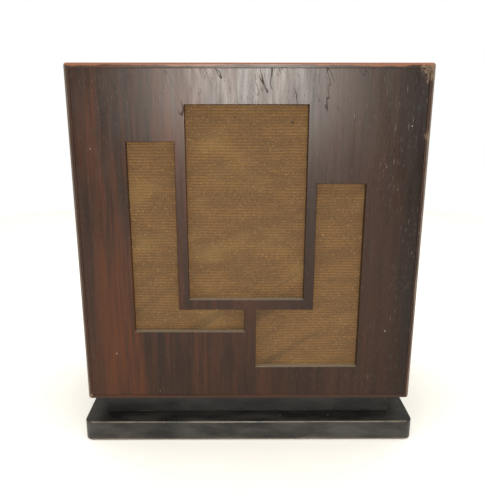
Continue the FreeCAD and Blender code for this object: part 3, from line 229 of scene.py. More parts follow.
def edge_distance(tree: NodeTree, low: Vector, high: Vector) -> Node:
    """How far, in millimetres, a point on a box's surface is from the box's nearest edge.

    Args:
        tree: The material's node tree.
        low: The box's lowest corner.
        high: The box's highest corner.

    Returns:
        The distance.
    """
    middle, half = (low + high) / 2, (high - low) / 2
    parts = coordinates(tree)
    depths = []
    for axis in range(3):
        away = add(tree, "Math", add(tree, "Math", parts[axis], middle[axis], operation="SUBTRACT"),
                   operation="ABSOLUTE")
        depths.append(add(tree, "Math", half[axis], away, operation="SUBTRACT"))
    total = add(tree, "Math", add(tree, "Math", depths[0], depths[1], operation="ADD"), depths[2],
                operation="ADD")
    deepest = add(tree, "Math", add(tree, "Math", depths[0], depths[1], operation="MAXIMUM"), depths[2],
                  operation="MAXIMUM")
    return add(tree, "Math", add(tree, "Math", total, deepest, operation="SUBTRACT"), PER_MM,
               operation="MULTIPLY")


def arris_share(tree: NodeTree, box: tuple[Vector, Vector], round_mm: float, ragged: Node,
                ragged_mm: float, reach: Node) -> Node:
    """Finds how near a point is to a box's rounded arrises.

    Args:
        tree: The material's node tree.
        box: The box's lowest and highest corners.
        round_mm: The radius of its arrises.
        ragged: The pattern that makes the border ragged.
        ragged_mm: How far that pattern moves the border.
        reach: How far the wear goes, in millimetres.

    Returns:
        One on the arris, and nought or less where the wear ends.
    """
    away = add(tree, "Math", edge_distance(tree, *box), ARRIS * round_mm, operation="SUBTRACT")
    away = add(tree, "Math", ragged, ragged_mm, away, operation="MULTIPLY_ADD")
    return add(tree, "Math", 1.0, add(tree, "Math", away, reach, operation="DIVIDE"), operation="SUBTRACT")


def box_of(*names: str) -> tuple[Vector, Vector]:
    """The box round several CAD nodes.

    Args:
        names: The nodes.

    Returns:
        Its lowest and highest corners.
    """
    lows, highs = zip(*(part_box(name) for name in names))
    low = Vector([min(corner[axis] for corner in lows) for axis in range(3)])
    return low, Vector([max(corner[axis] for corner in highs) for axis in range(3)])


def piece(name: str, mesh: Mesh, material: Material, body: str,
          stands_for: tuple[str, ...] = ()) -> Object:
    """Makes a finished object from a mesh that is already in place.

    Args:
        name: The object's name.
        mesh: The mesh, in the row frame.
        material: Its finish.
        body: The CAD body it rides on.
        stands_for: CAD nodes that it replaces.

    Returns:
        The object.
    """
    mesh.materials.clear()
    mesh.materials.append(material)
    made = bpy.data.objects.new(name, mesh)
    bpy.context.scene.collection.objects.link(made)
    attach(made, body)
    if stands_for:
        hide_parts(*stands_for)
    log.info("%s: %d faces on %s", name, len(mesh.polygons), body)
    return made


def mesh_from(shape: BMesh, name: str, smooth: bool = True) -> Mesh:
    """Turns a bmesh into a mesh, with its faces outwards, and frees it.

    Args:
        shape: The bmesh.
        name: The mesh's name.
        smooth: Whether its faces are shaded as one smooth surface.

    Returns:
        The mesh.
    """
    bmesh.ops.recalc_face_normals(shape, faces=shape.faces[:])
    for face in shape.faces:
        face.smooth = smooth
    mesh = bpy.data.meshes.new(name)
    shape.to_mesh(mesh)
    shape.free()
    return mesh


def mesh_of_curve(name: str, curve: Curve) -> Mesh:
    """Turns a curve or a text into a mesh where it lies.

    Args:
        name: The name of the object that holds it meanwhile.
        curve: The curve or text.

    Returns:
        The mesh.
    """
    holder = bpy.data.objects.new(name, curve)
    bpy.context.scene.collection.objects.link(holder)
    bpy.context.view_layer.update()
    ready = holder.evaluated_get(bpy.context.evaluated_depsgraph_get())
    mesh = bpy.data.meshes.new_from_object(ready)
    bpy.data.objects.remove(holder)
    return mesh


def thicken(sheet: Object, thickness: float) -> None:
    """Gives a sheet its thickness, half on each side.

    Args:
        sheet: The piece.
        thickness: Its thickness in metres.
    """
    wall = sheet.modifiers.new("thickness", "SOLIDIFY")
    wall.thickness = thickness
    wall.offset = 0.0


def dress(material: Material, *names: str) -> None:
    """Gives CAD nodes a finish.

    Args:
        material: The finish.
        names: The nodes.
    """
    for name in names:
        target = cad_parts[name]
        target.data.materials.clear()
        target.data.materials.append(material)
        log.info("%s: dressed in %s", name, material.name)


# ---------------------------------------------------------------- finishes


@dataclass(frozen=True)
class Finish:
    """What each finish shares: a name, a glossiness and an index of refraction."""

    name: str
    roughness: float = 0.4
    ior: float = 1.5
    specular: float = 0.5

    def make(self) -> Material:
        """Builds the material.

        Returns:
            A material with one principled shader.
        """
        material = bpy.data.materials.new(self.name)
        material.use_nodes = True
        tree = material.node_tree
        tree.nodes.clear()
        values = {"Roughness": self.roughness, "IOR": self.ior, "Specular IOR Level": self.specular}
        shader = add(tree, "BsdfPrincipled", values)
        add(tree, "OutputMaterial", {"Surface": shader.outputs["BSDF"]})
        self.paint(tree, shader)
        return material

    def paint(self, tree: NodeTree, shader: Node) -> None:
        """Links the finish's own pattern to the shader."""
        raise NotImplementedError


@dataclass(frozen=True)
class Timber(Finish):
    """Sawn or planed wood with growth-ring figure and short pores, which gives a matt, warm surface."""

    pale: str = "#c9a877"
    dark: str = "#9a7446"
    grain: Axis = Axis.Z
    figure_mm: float = 9.0
    shift: float = 0.0

    def paint(self, tree: NodeTree, shader: Node) -> None:
        """Links figure, pores and a shallow grain relief.

        Args:
            tree: The material's node tree.
            shader: Its principled shader.
        """
        figure = streaks(tree, self.figure_mm, 160, self.grain, self.shift, detail=3, rough=0.6, bend=1.2)
        pores = streaks(tree, 0.9, 16, self.grain, self.shift, detail=2, rough=0.6)
        tone = laid(tree, linear(self.pale), self.dark, figure, 0.35, 0.65)
        mark = add(tree, "MapRange", pores, 0.62, 0.75, **SMOOTH)
        deep = add(tree, "Mix", 0.55, tone, BLACK, **COLOUR)
        join(tree, add(tree, "Mix", mark, tone, deep, **COLOUR), shader.inputs["Base Color"])
        raise_surface(tree, shader, add(tree, "Math", figure, mark, operation="SUBTRACT"), 0.12, 0.6)


@dataclass(frozen=True)
class Veneer(Finish):
    """French-polished rosewood veneer, nearly black, with red-brown heart, fine pores and old scuffs.

    The polish gives a broad soft sheen that breaks up along the grain. Wear along the arrises shows
    bare red-brown wood, and upward ledges are laid pale, with dust and a painted highlight. Painted shade
    darkens the right-hand edge, as strongly as the crack share says. Old dull polish reflects less than
    new, hence the level.
    """

    specular: float = 0.19
    dark: str = "#21150f"
    middle: str = "#2f1c13"
    heart: str = "#46240f"
    worn: str = "#7d4d2f"
    grain: Axis = Axis.Z
    shift: float = 0.0
    wear_mm: float = 0.8
    ragged: float = 0.5
    round_mm: float = 2.5
    heart_share: float = 1.0
    # share of pale on upward ledges: dust, and a painted highlight where the light falls on them
    dust_share: float = 0.08
    # how strong the polish cracks are, and also the painted shade that darkens the right-hand edge
    split_share: float = 0.0
    knocks: tuple[tuple[Vector, float], ...] = ()
    box: tuple[Vector, Vector] = field(default_factory=lambda: (Vector(), Vector()))

    def paint(self, tree: NodeTree, shader: Node) -> None:
        """Links the veneer's colour with its painted shade at the right-hand edge, gloss, relief and worn
        arrises.

        Args:
            tree: The material's node tree.
            shader: Its principled shader.
        """
        broad = streaks(tree, 38, 260, self.grain, self.shift, detail=3, rough=0.5, bend=0.8)
        band = streaks(tree, 8, 150, self.grain, self.shift + 3, detail=3, rough=0.55, bend=0.6)
        fine = streaks(tree, 2.0, 60, self.grain, self.shift + 5, detail=2, rough=0.6, bend=0.3)
        hair = streaks(tree, 0.9, 10, self.grain, self.shift + 7, detail=2, rough=0.7)
        tone = add(tree, "Math", band, 0.36, add(tree, "Math", broad, 0.42, operation="MULTIPLY"),
                   operation="MULTIPLY_ADD")
        tone = add(tree, "Math", fine, 0.22, tone, operation="MULTIPLY_ADD")
        wood = laid(tree, linear(self.dark), self.middle, tone, 0.36, 0.64)
        share = add(tree, "Math", add(tree, "MapRange", tone, 0.42, 0.68, **SMOOTH), self.warm_part(tree),
                    operation="MULTIPLY")
        wood = add(tree, "Mix", share, wood, linear(self.heart), **COLOUR)
        pore = add(tree, "MapRange", hair, 0.62, 0.76, **SMOOTH)
        wood = add(tree, "Mix", add(tree, "Math", pore, 0.5, operation="MULTIPLY"), wood,
                   linear("#0d0807"), **COLOUR)
        across = coordinates(tree)[0]
        # painted shade: the leaf is darkened towards its right-hand edge, where the light falls off
        wood = laid(tree, wood, "#0f0a08", across, 0.105, 0.152, self.split_share)
        wood = self.scuffed(tree, wood, hair)
        wood = self.rubbed(tree, wood, fine)
        crack = self.cracked(tree) if self.split_share > 0 else 0.0
        wood = add(tree, "Mix", crack, wood, linear("#060403"), **COLOUR)
        join(tree, wood, shader.inputs["Base Color"])
        cloud = streaks(tree, 5, 55, self.grain, self.shift + 11, detail=4, rough=0.65)
        gloss = add(tree, "MapRange", cloud, 0.3, 0.7, self.roughness - 0.03, self.roughness + 0.045,
                    **SMOOTH)
        gloss = add(tree, "Math", pore, 0.16, gloss, operation="MULTIPLY_ADD")
        gloss = add(tree, "Math", crack, 0.3, gloss, operation="MULTIPLY_ADD")
        join(tree, gloss, shader.inputs["Roughness"])
        relief = add(tree, "Math", add(tree, "Math", fine, 0.6, operation="MULTIPLY"),
                     add(tree, "Math", pore, 0.6, operation="MULTIPLY"), operation="SUBTRACT")
        raise_surface(tree, shader, relief, 0.05, 0.6)

    def warm_part(self, tree: NodeTree) -> Node:
        """Finds how red the leaf is: its heart runs down the left-hand side and fades to the right.

        Args:
            tree: The material's node tree.

        Returns:
            The share of heartwood.
        """
        across = coordinates(tree)[0]
        rise = add(tree, "MapRange", across, -0.15, -0.122, 0.25, 1.0, **SMOOTH)
        fall = add(tree, "MapRange", across, -0.09, 0.05, 1.0, 0.08, **SMOOTH)
        return add(tree, "Math", add(tree, "Math", rise, fall, operation="MULTIPLY"), self.heart_share,
                   operation="MULTIPLY")

    def scuffed(self, tree: NodeTree, wood: Node, hair: Node) -> Node:
        """Adds filler gone white in the pores, a dull bloom and specks of dried polish.

        Args:
            tree: The material's node tree.
            wood: The colour so far.
            hair: The pattern of the pores.

        Returns:
            The colour with its scuffs.
        """
        across = coordinates(tree)[0]
        patches = streaks(tree, 30, 70, Axis.Z, self.shift + 5, detail=3, rough=0.6)
        bleached = add(tree, "Math", add(tree, "MapRange", patches, 0.42, 0.62, **SMOOTH),
                       add(tree, "MapRange", across, 0.02, 0.12, 0.12, 1.0, **SMOOTH),
                       operation="MULTIPLY")
        flecks = add(tree, "Math", add(tree, "MapRange", hair, 0.62, 0.74, **SMOOTH), bleached,
                     operation="MULTIPLY")
        wood = add(tree, "Mix", add(tree, "Math", flecks, 0.42, operation="MULTIPLY"), wood,
                   linear("#8a8580"), **COLOUR)
        dull = streaks(tree, 1.4, 3, Axis.Z, self.shift + 6, detail=3, rough=0.75)
        wood = laid(tree, wood, "#54453a", dull, 0.5, 0.8, 0.22)
        share = specks(tree, grain_space(tree, 13, 17, Axis.Z, self.shift), 0.66, 0.7)
        return add(tree, "Mix", share, wood, linear("#a29a90"), **COLOUR)

    def cracked(self, tree: NodeTree) -> Node:
        """Finds the thin slanting cracks where the polish has split near the top of the leaf.

        Args:
            tree: The material's node tree.

        Returns:
            The share of crack.
        """
        lines = streaks(tree, 14, 70, Axis.Z, self.shift + 2, detail=1, rough=0.5, bend=0.4, lean=-24)
        rift = add(tree, "Math", add(tree, "Math", lines, 0.5, operation="SUBTRACT"),
                   operation="ABSOLUTE")
        upward = coordinates(tree)[2]
        patches = streaks(tree, 20, 30, Axis.Z, self.shift + 8, detail=2)
        zone = add(tree, "Math", add(tree, "MapRange", patches, 0.5, 0.6, **SMOOTH),
                   add(tree, "MapRange", upward, 0.28, 0.31, **SMOOTH), operation="MULTIPLY")
        thin = add(tree, "MapRange", rift, 0.01, 0.002, 0.0, self.split_share, **SMOOTH)
        return add(tree, "Math", thin, zone, operation="MULTIPLY")

    def rubbed(self, tree: NodeTree, wood: Node, fine: Node) -> Node:
        """Lays dust and a painted highlight on ledges; shows bare wood where corners and arrises are rubbed.

        Args:
            tree: The material's node tree.
            wood: The colour so far.
            fine: The pattern that makes the rubbed line ragged.

        Returns:
            The colour with its dust, painted ledge highlight and wear.
        """
        facing = add(tree, "NewGeometry").outputs["Normal"]
        upward = add(tree, "SeparateXYZ", {0: facing}).outputs[2]
        # dust and painted highlight: upward faces, such as the bottoms of the front's openings, are laid pale
        wood = laid(tree, wood, "#a3947c", upward, 0.6, 0.95, self.dust_share)
        patch = streaks(tree, 40, 40, Axis.Z, self.shift + 2, detail=3, rough=0.65)
        place = add(tree, "TexCoord").outputs["Object"]
        flaky = streaks(tree, 3.2, 6, Axis.Z, self.shift + 4, detail=3, rough=0.7)
        for spot, radius in self.knocks:
            far = add(tree, "VectorMath", {0: place, 1: spot}, operation="DISTANCE").outputs["Value"]
            near = add(tree, "MapRange", far, radius, 0.0, 0.0, 0.5, **SMOOTH)
            bare = add(tree, "MapRange", add(tree, "Math", near, flaky, operation="ADD"), 0.74, 1.0, 0.0,
                       0.45, **SMOOTH)
            wood = add(tree, "Mix", bare, wood, linear("#86705a"), **COLOUR)
        if self.wear_mm <= 0:
            return wood
        spread = self.ragged * self.wear_mm
        reach = add(tree, "MapRange", patch, 0.35, 0.7, self.wear_mm - spread, self.wear_mm + spread,
                    **SMOOTH)
        share = arris_share(tree, self.box, self.round_mm, fine, 0.4 * self.wear_mm, reach)
        return laid(tree, wood, self.worn, share, 0.0, 0.6, 0.8)


@dataclass(frozen=True)
class BlackPolish(Finish):
    """Birch under black spirit polish: half-glossy, thinly dusty, rubbed to tan wood at the arrises."""

    specular: float = 0.36
    colour: str = "#131211"
    dust: str = "#8b857c"
    bare: str = "#8f806a"
    wear_mm: float = 0.8
    round_mm: float = 1.2
    # share of pale dust laid in clouds
    dust_share: float = 0.10
    box: tuple[Vector, Vector] = field(default_factory=lambda: (Vector(), Vector()))

    def paint(self, tree: NodeTree, shader: Node) -> None:
        """Links the black, its dust, its worn edges, its knocks and faint brush marks.

        Args:
            tree: The material's node tree.
            shader: Its principled shader.
        """
        cloud = streaks(tree, 18, 46, Axis.X, detail=4, rough=0.6)
        grit = streaks(tree, 1.3, 1.3, Axis.X, 4, detail=2, rough=0.7)
        coat = laid(tree, linear(self.colour), self.dust, cloud, 0.35, 0.7, self.dust_share)
        share = specks(tree, grain_space(tree, 16, 24, Axis.X, 3), 0.62, 0.6)
        coat = add(tree, "Mix", share, coat, linear(self.dust), **COLOUR)
        patch = streaks(tree, 14, 30, Axis.X, 9, detail=3, rough=0.7)
        reach = add(tree, "MapRange", patch, 0.38, 0.78, 0.3 * self.wear_mm, 2.2 * self.wear_mm, **SMOOTH)
        share = arris_share(tree, self.box, self.round_mm, grit, 0.3 * self.wear_mm, reach)
        coat = laid(tree, coat, self.bare, share, 0.0, 0.9, 0.28)
        join(tree, coat, shader.inputs["Base Color"])
        gloss = add(tree, "MapRange", cloud, 0.3, 0.7, self.roughness - 0.06, self.roughness + 0.1,
                    **SMOOTH)
        join(tree, gloss, shader.inputs["Roughness"])
        brush = streaks(tree, 1.6, 60, Axis.X, 1, detail=2)
        raise_surface(tree, shader, add(tree, "Math", grit, 0.25, brush, operation="MULTIPLY_ADD"), 0.04,
                      0.4)


@dataclass(frozen=True)
class RibbedCloth(Finish):
    """Woven grille cloth: fat golden weft ribs over fine dark warp, a little stained, faded and pulled."""

    rib: str = "#65461c"
    valley: str = "#38250c"
    rib_mm: float = 2.6
    thread_mm: float = 1.3
    sag_mm: float = 5.0
    sheen: float = 0.08
    moth_holes: tuple[tuple[Vector, float], ...] = ()

    def paint(self, tree: NodeTree, shader: Node) -> None:
        """Links ribs, threads, slubs, stains, folds with painted shade, and moth holes painted dark as shade.

        The threads are drawn twice as coarse as real ones, which would be too fine to see.

        Args:
            tree: The material's node tree.
            shader: Its principled shader.
        """
        place = add(tree, "TexCoord").outputs["Object"]
        parts = add(tree, "SeparateXYZ", {0: place}).outputs
        drift = streaks(tree, 70, 120, Axis.X, detail=2)
        level = add(tree, "Math", drift, self.sag_mm * MM, parts[2], operation="MULTIPLY_ADD")
        rise = add(tree, "Math", level, math.tau * PER_MM / self.rib_mm, operation="MULTIPLY")
        ribs = add(tree, "Math", add(tree, "Math", rise, operation="SINE"), 0.5, 0.5,
                   operation="MULTIPLY_ADD")
        run = add(tree, "Math", parts[0], math.tau * PER_MM / self.thread_mm, operation="MULTIPLY")
        threads = add(tree, "Math", add(tree, "Math", run, operation="SINE"), 0.5, 0.5,
                      operation="MULTIPLY_ADD")
        slub = streaks(tree, 1.1, 2.2, Axis.X, 6, detail=4, rough=0.8)
        flat = streaks(tree, 9, 30, Axis.X, 8, detail=2, rough=0.6)
        fat = add(tree, "Math", ribs, add(tree, "MapRange", flat, 0.35, 0.65, 0.08, 0.36, **SMOOTH),
                  operation="MULTIPLY")
        height = add(tree, "Math", threads, 0.12,
                     add(tree, "Math", slub, 1.3, fat, operation="MULTIPLY_ADD"),
                     operation="MULTIPLY_ADD")
        weave = laid(tree, linear(self.valley), self.rib, height, 0.38, 1.25)
        stain = streaks(tree, 24, 40, Axis.Z, 3, detail=5, rough=0.7)
        weave = laid(tree, weave, "#453016", stain, 0.5, 0.75, 0.34)
        fade = streaks(tree, 60, 40, Axis.Z, 9, detail=2)
        weave = laid(tree, weave, "#8a7040", fade, 0.5, 0.75, 0.2)
        fold_and_shade = streaks(tree, 15, 120, Axis.Z, 14, detail=2, lean=58)
        fold_and_shade = add(tree, "Math", add(tree, "MapRange", fold_and_shade, 0.5, 0.7, **SMOOTH),
                   add(tree, "MapRange", parts[2], 0.2, 0.14, **SMOOTH), operation="MULTIPLY")
        # painted shade: the cloth is darkened along the slanting folds near the bottom, which also dent its
        # relief
        weave = add(tree, "Mix", add(tree, "Math", fold_and_shade, 0.45, operation="MULTIPLY"), weave,
                    linear("#2e1f0b"), **COLOUR)
        height = add(tree, "Math", fold_and_shade, -1.0, height, operation="MULTIPLY_ADD")
        fleck = streaks(tree, 1.0, 2.4, Axis.X, 12, detail=1)
        weave = laid(tree, weave, "#a98c58", fleck, 0.6, 0.78, 0.22)
        for spot, radius in self.moth_holes:
            away = add(tree, "VectorMath", {0: place, 1: spot}, operation="DISTANCE").outputs["Value"]
            # painted shade: each moth hole is a near-black spot, standing for the dark inside of the cabinet
            # seen through it
            weave = laid(tree, weave, "#120c06", away, radius * 1.3, radius * 0.6, 0.9)
        join(tree, weave, shader.inputs["Base Color"])
        raise_surface(tree, shader, height, 0.2, 0.8)
        shader.inputs["Sheen Weight"].default_value = self.sheen
        shader.inputs["Sheen Roughness"].default_value = 0.5


@dataclass(frozen=True)
class Moulded(Finish):
    """Ebonite, paxolin or stoved enamel: one deep colour, handled and dusty, with a fine texture."""

    colour: str = "#141110"
    handled: str = "#2a2521"
    texture_mm: float = 0.9
    depth_mm: float = 0.01

    def paint(self, tree: NodeTree, shader: Node) -> None:
        """Links a faint bloom, uneven gloss and the surface texture.

        Args:
            tree: The material's node tree.
            shader: Its principled shader.
        """
        bloom = streaks(tree, 9, 14, Axis.X, detail=4, rough=0.65)
        tint = laid(tree, linear(self.colour), self.handled, bloom, 0.42, 0.72)
        join(tree, tint, shader.inputs["Base Color"])
        low, high = max(self.roughness - 0.08, 0.02), self.roughness + 0.12
        gloss = add(tree, "MapRange", bloom, 0.3, 0.7, low, high, **SMOOTH)
        join(tree, gloss, shader.inputs["Roughness"])
        raise_surface(tree, shader, streaks(tree, self.texture_mm, self.texture_mm, Axis.X, 2, detail=2),
                      self.depth_mm, 0.5)


@dataclass(frozen=True)
class Metal(Finish):
    """Turned, rolled or cast metal: bright where it is touched, duller in patches, with fine tool marks."""

    colour: str = "#b5904a"
    tarnish: str = "#6e5128"
    patch_mm: float = 7.0
    tarnished: float = 0.5
    marks: Axis = Axis.X

    def paint(self, tree: NodeTree, shader: Node) -> None:
        """Links tarnish, gloss and tool marks.

        Args:
            tree: The material's node tree.
            shader: Its principled shader.
        """
        shader.inputs["Metallic"].default_value = 1.0
        cloud = streaks(tree, self.patch_mm, self.patch_mm, Axis.Z, detail=4, rough=0.65)
        share = add(tree, "MapRange", cloud, 0.36, 0.7, 0.0, self.tarnished, **SMOOTH)
        tint = add(tree, "Mix", share, linear(self.colour), linear(self.tarnish), **COLOUR)
        join(tree, tint, shader.inputs["Base Color"])
        gloss = add(tree, "MapRange", cloud, 0.3, 0.7, self.roughness - 0.06, self.roughness + 0.18,
                    **SMOOTH)
        join(tree, gloss, shader.inputs["Roughness"])
        raise_surface(tree, shader, streaks(tree, 0.7, 9, self.marks, detail=2, rough=0.6), 0.012, 0.6)


@dataclass(frozen=True)
class Winding(Finish):
    """Close turns of covered wire, side by side, which read as fine parallel ribs."""

    colour: str = "#2f4a2a"
    # colour painted as shade in the grooves between turns
    gap: str = "#121a10"
    wire_mm: float = 1.1
    along: Axis = Axis.X

    def paint(self, tree: NodeTree, shader: Node) -> None:
        """Links the turns' colour, with painted shade in the grooves between them, and their relief.

        Each turn is drawn twice as thick as real wire, which would be too fine to see.

        Args:
            tree: The material's node tree.
            shader: Its principled shader.
        """
        run = coordinates(tree)[self.along.value]
        turns = add(tree, "Math",
                    add(tree, "Math", run, math.tau * PER_MM / self.wire_mm, operation="MULTIPLY"),
                    operation="SINE")
        turns = add(tree, "Math", turns, 0.5, 0.5, operation="MULTIPLY_ADD")
        fuzz = streaks(tree, 1.2, 1.2, Axis.X, detail=3, rough=0.7)
        worn = laid(tree, linear(self.colour), "#8d8a6a", fuzz, 0.4, 0.75, 0.35)
        crown = add(tree, "MapRange", turns, 0.0, 0.5, **SMOOTH)
        # painted shade: the grooves between turns take a dark colour for the shade between the wires
        tint = add(tree, "Mix", crown, linear(self.gap), worn, **COLOUR)
        join(tree, tint, shader.inputs["Base Color"])
        raise_surface(tree, shader, turns, 0.25, 0.9)


@dataclass(frozen=True)
class Fibre(Finish):
    """Felt, kid leather or cone paper: short fibres or creases in one soft colour."""

    colour: str = "#2e3b2a"
    fleck: str = "#4d5c45"
    fibre_mm: float = 0.8
    length_mm: float = 3.0
    depth_mm: float = 0.2
    along: Axis = Axis.X

    def paint(self, tree: NodeTree, shader: Node) -> None:
        """Links the fibres' colour and relief.

        Args:
            tree: The material's node tree.
            shader: Its principled shader.
        """
        lie = streaks(tree, self.fibre_mm, self.length_mm, self.along, detail=3, rough=0.7, bend=1.5)
        cloud = streaks(tree, 18, 18, Axis.X, 3, detail=3)
        tint = laid(tree, linear(self.colour), self.fleck, lie, 0.4, 0.7)
        tint = add(tree, "Mix", add(tree, "MapRange", cloud, 0.45, 0.75, 0.0, 0.3, **SMOOTH), tint,
                   add(tree, "Mix", 0.5, tint, BLACK, **COLOUR), **COLOUR)
        join(tree, tint, shader.inputs["Base Color"])
        raise_surface(tree, shader, lie, self.depth_mm, 0.7)


@dataclass(frozen=True)
class TubeGlass(Finish):
    """Thin drawn soda glass, clear with faint drawing lines."""

    tint: str = "#f2f7f4"

    def paint(self, tree: NodeTree, shader: Node) -> None:
        """Sets clear glass with faint waves along the tube.

        Args:
            tree: The material's node tree.
            shader: Its principled shader.
        """
        shader.inputs["Base Color"].default_value = linear(self.tint)
        shader.inputs["Transmission Weight"].default_value = 1.0
        raise_surface(tree, shader, streaks(tree, 5, 40, Axis.X, detail=1), 0.01, 0.3)


@dataclass(frozen=True)
class Mineral(Finish):
    """Broken galena: stepped lead-grey cleavage faces that flash."""

    colour: str = "#8b8f98"
    shade: str = "#3f4248"

    def paint(self, tree: NodeTree, shader: Node) -> None:
        """Links facets of differing tone and gloss.

        Args:
            tree: The material's node tree.
            shader: Its principled shader.
        """
        shader.inputs["Metallic"].default_value = 1.0
        wires = {"Vector": grain_space(tree, 1.1, 1.1, Axis.X), "Scale": 1.0}
        facets = add(tree, "TexVoronoi", wires, distance="CHEBYCHEV")
        tone = add(tree, "SeparateColor", {0: facets.outputs["Color"]}).outputs[0]
        tint = add(tree, "Mix", tone, linear(self.shade), linear(self.colour), **COLOUR)
        join(tree, tint, shader.inputs["Base Color"])
        gloss = add(tree, "MapRange", tone, 0.0, 1.0, 0.12, 0.45, **SMOOTH)
        join(tree, gloss, shader.inputs["Roughness"])
        raise_surface(tree, shader, tone, 0.15, 0.5)


@dataclass(frozen=True)
class Paint(Finish):
    """Filling wax or floor paint: one chalky colour with the faintest mottle."""

    colour: str = "#e8e4d8"
    mottle: str = "#cfc9ba"
    size_mm: float = 3.0

    def paint(self, tree: NodeTree, shader: Node) -> None:
        """Links the mottle.

        Args:
            tree: The material's node tree.
            shader: Its principled shader.
        """
        cloud = streaks(tree, self.size_mm, self.size_mm, Axis.X, detail=3)
        tint = add(tree, "Mix", cloud, linear(self.colour), linear(self.mottle), **COLOUR)
        join(tree, tint, shader.inputs["Base Color"])


# ---------------------------------------------------------------- sub-assemblies


@dataclass
class Cabinet:
    """The mitred case, its pierced front, its rear panels and its screws."""

    boards: tuple[str, ...] = ("bottom_board", "right_side", "top_board", "left_side")
    grains: tuple[Axis, ...] = (Axis.X, Axis.Z, Axis.X, Axis.Z)
    worn_edges: tuple[tuple[str, float, float], ...] = (  # each board's bare colour, width and raggedness
        ("#3d2b22", 0.4, 0.7), ("#675c52", 0.8, 0.7), ("#7d5038", 1.7, 0.7), ("#5e544b", 0.6, 0.6))
    big_knock: float = 0.030
    small_knock: float = 0.012
    knock_drop: float = 0.06

    def build(self) -> None:
        """Dresses every wooden part of the case."""
        box = box_of(*self.boards)
        low, high = box
        knocks = ((Vector((high.x, low.y, high.z)), self.big_knock), (low, self.small_knock),
                  (Vector((high.x, low.y, high.z - self.knock_drop)), self.small_knock))
        for place, (name, grain) in enumerate(zip(self.boards, self.grains)):
            worn, wide, ragged = self.worn_edges[place]
            wood = Veneer(f"{name}_rosewood", 0.32, worn=worn, grain=grain, shift=5.0 * place + 2,
                          wear_mm=wide, ragged=ragged, knocks=knocks, box=box)
            dress(wood.make(), name)
        # the front's pale share lays dust and a painted highlight on its openings' bottom ledges; its crack
        # share also sets the painted shade at its right-hand edge
        front = Veneer("front_rosewood_veneer", 0.28, grain=Axis.Z, shift=1.0, wear_mm=0, dust_share=0.5,
                       split_share=0.7, knocks=knocks)
        dress(front.make(), "fret_panel")
        plywood = Timber("stained_birch_plywood", 0.6, pale="#8a6a45", dark="#5f4528", grain=Axis.X, shift=4)
        dress(plywood.make(), "back_panel", "baffle_board")
        dress(Timber("planed_deal", 0.65, grain=Axis.Y, shift=8).make(), "battens", "coil_cradles")
        sheet = Moulded("polished_ebonite_sheet", 0.3, colour="#17120f", handled="#2b231d")
        dress(sheet.make(), "control_panel")
        brass = Metal("brass_wood_screws", 0.34, patch_mm=3, tarnished=0.8).make()
        dress(brass, "cabinet_screws", "speaker_screws")


@dataclass
class Plinth:
    """The black base slab, its neck and the felt beneath."""

    felt_edge: float = 0.0004

    def build(self) -> None:
        """Dresses the slab and neck, and lays the felt."""
        dress(BlackPolish("black_polished_base", 0.3, box=box_of("base_board")).make(), "base_board")
        # painted shade: the neck's black is darker than the slab's, for the shadow under the cabinet's
        # overhang
        neck = BlackPolish("black_polished_neck", 0.4, colour="#0e0d0d", wear_mm=0.2, round_mm=0.0,
                           dust_share=0.03, box=box_of("neck_board"))
        dress(neck.make(), "neck_board")
        steel = Metal("zinc_plated_steel", 0.4, colour="#9fa1a4", tarnish="#5c5a58", tarnished=0.6)
        dress(steel.make(), "plinth_screws")
        self.lay_felt()

    def lay_felt(self) -> None:
        """A sheet of felt with soft cut edges, glued under the slab."""
        low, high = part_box("base_felt")
        size = high - low
        shape = bmesh.new()
        bmesh.ops.create_cube(shape, size=1.0)
        bmesh.ops.scale(shape, vec=size, verts=shape.verts)
        bmesh.ops.translate(shape, vec=(low + high) / 2, verts=shape.verts)
        bmesh.ops.bevel(shape, geom=shape.edges[:], offset=self.felt_edge, affect="EDGES", segments=2,
                        profile=0.5, material=-1)
        felt = Fibre("wool_felt", 0.95, colour="#26331f", fleck="#415238", fibre_mm=0.9, length_mm=4)
        sheet = piece("base_felt_sheet", mesh_from(shape, "base_felt_sheet", False), felt.make(), "cabinet",
                      ("base_felt",))


@dataclass
class Grille:
    """The cloth stretched behind the pierced front."""

    thick: float = 0.0005
    cells: int = 64
    pucker: float = 0.00012
    waves: tuple[float, float] = (55.0, 38.0)  # radians per metre across and up
    phase: float = 1.3
    moth_holes: tuple[tuple[float, float, float], ...] = (  # each one's place from the middle, and its radius
        (0.0365, 0.1045, 0.0012), (-0.0125, 0.1085, 0.0008))

    def build(self) -> None:
        """Weaves the cloth and puts it in the CAD sheet's place."""
        low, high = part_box("grille_cloth")
        middle, size = (low + high) / 2, high - low
        shape = bmesh.new()
        bmesh.ops.create_grid(shape, x_segments=self.cells, y_segments=self.cells, size=0.5)
        bmesh.ops.scale(shape, vec=(size.x, size.z, 1), verts=shape.verts)
        upright = Matrix.Rotation(math.pi / 2, 3, "X")
        bmesh.ops.rotate(shape, cent=(0, 0, 0), matrix=upright, verts=shape.verts)
        bmesh.ops.translate(shape, vec=middle, verts=shape.verts)
        across, up = self.waves
        for vert in shape.verts:
            vert.co.y += self.pucker * math.sin(vert.co.x * across + self.phase) * math.sin(vert.co.z * up)
        mesh = mesh_from(shape, "grille_weave")
        holes = tuple((middle + Vector((x, 0, z)), radius) for x, z, radius in self.moth_holes)
        weave = RibbedCloth("ribbed_grille_cloth", 0.85, moth_holes=holes)
        cloth = piece("grille_weave", mesh, weave.make(), "cabinet", ("grille_cloth",))
        thicken(cloth, self.thick)


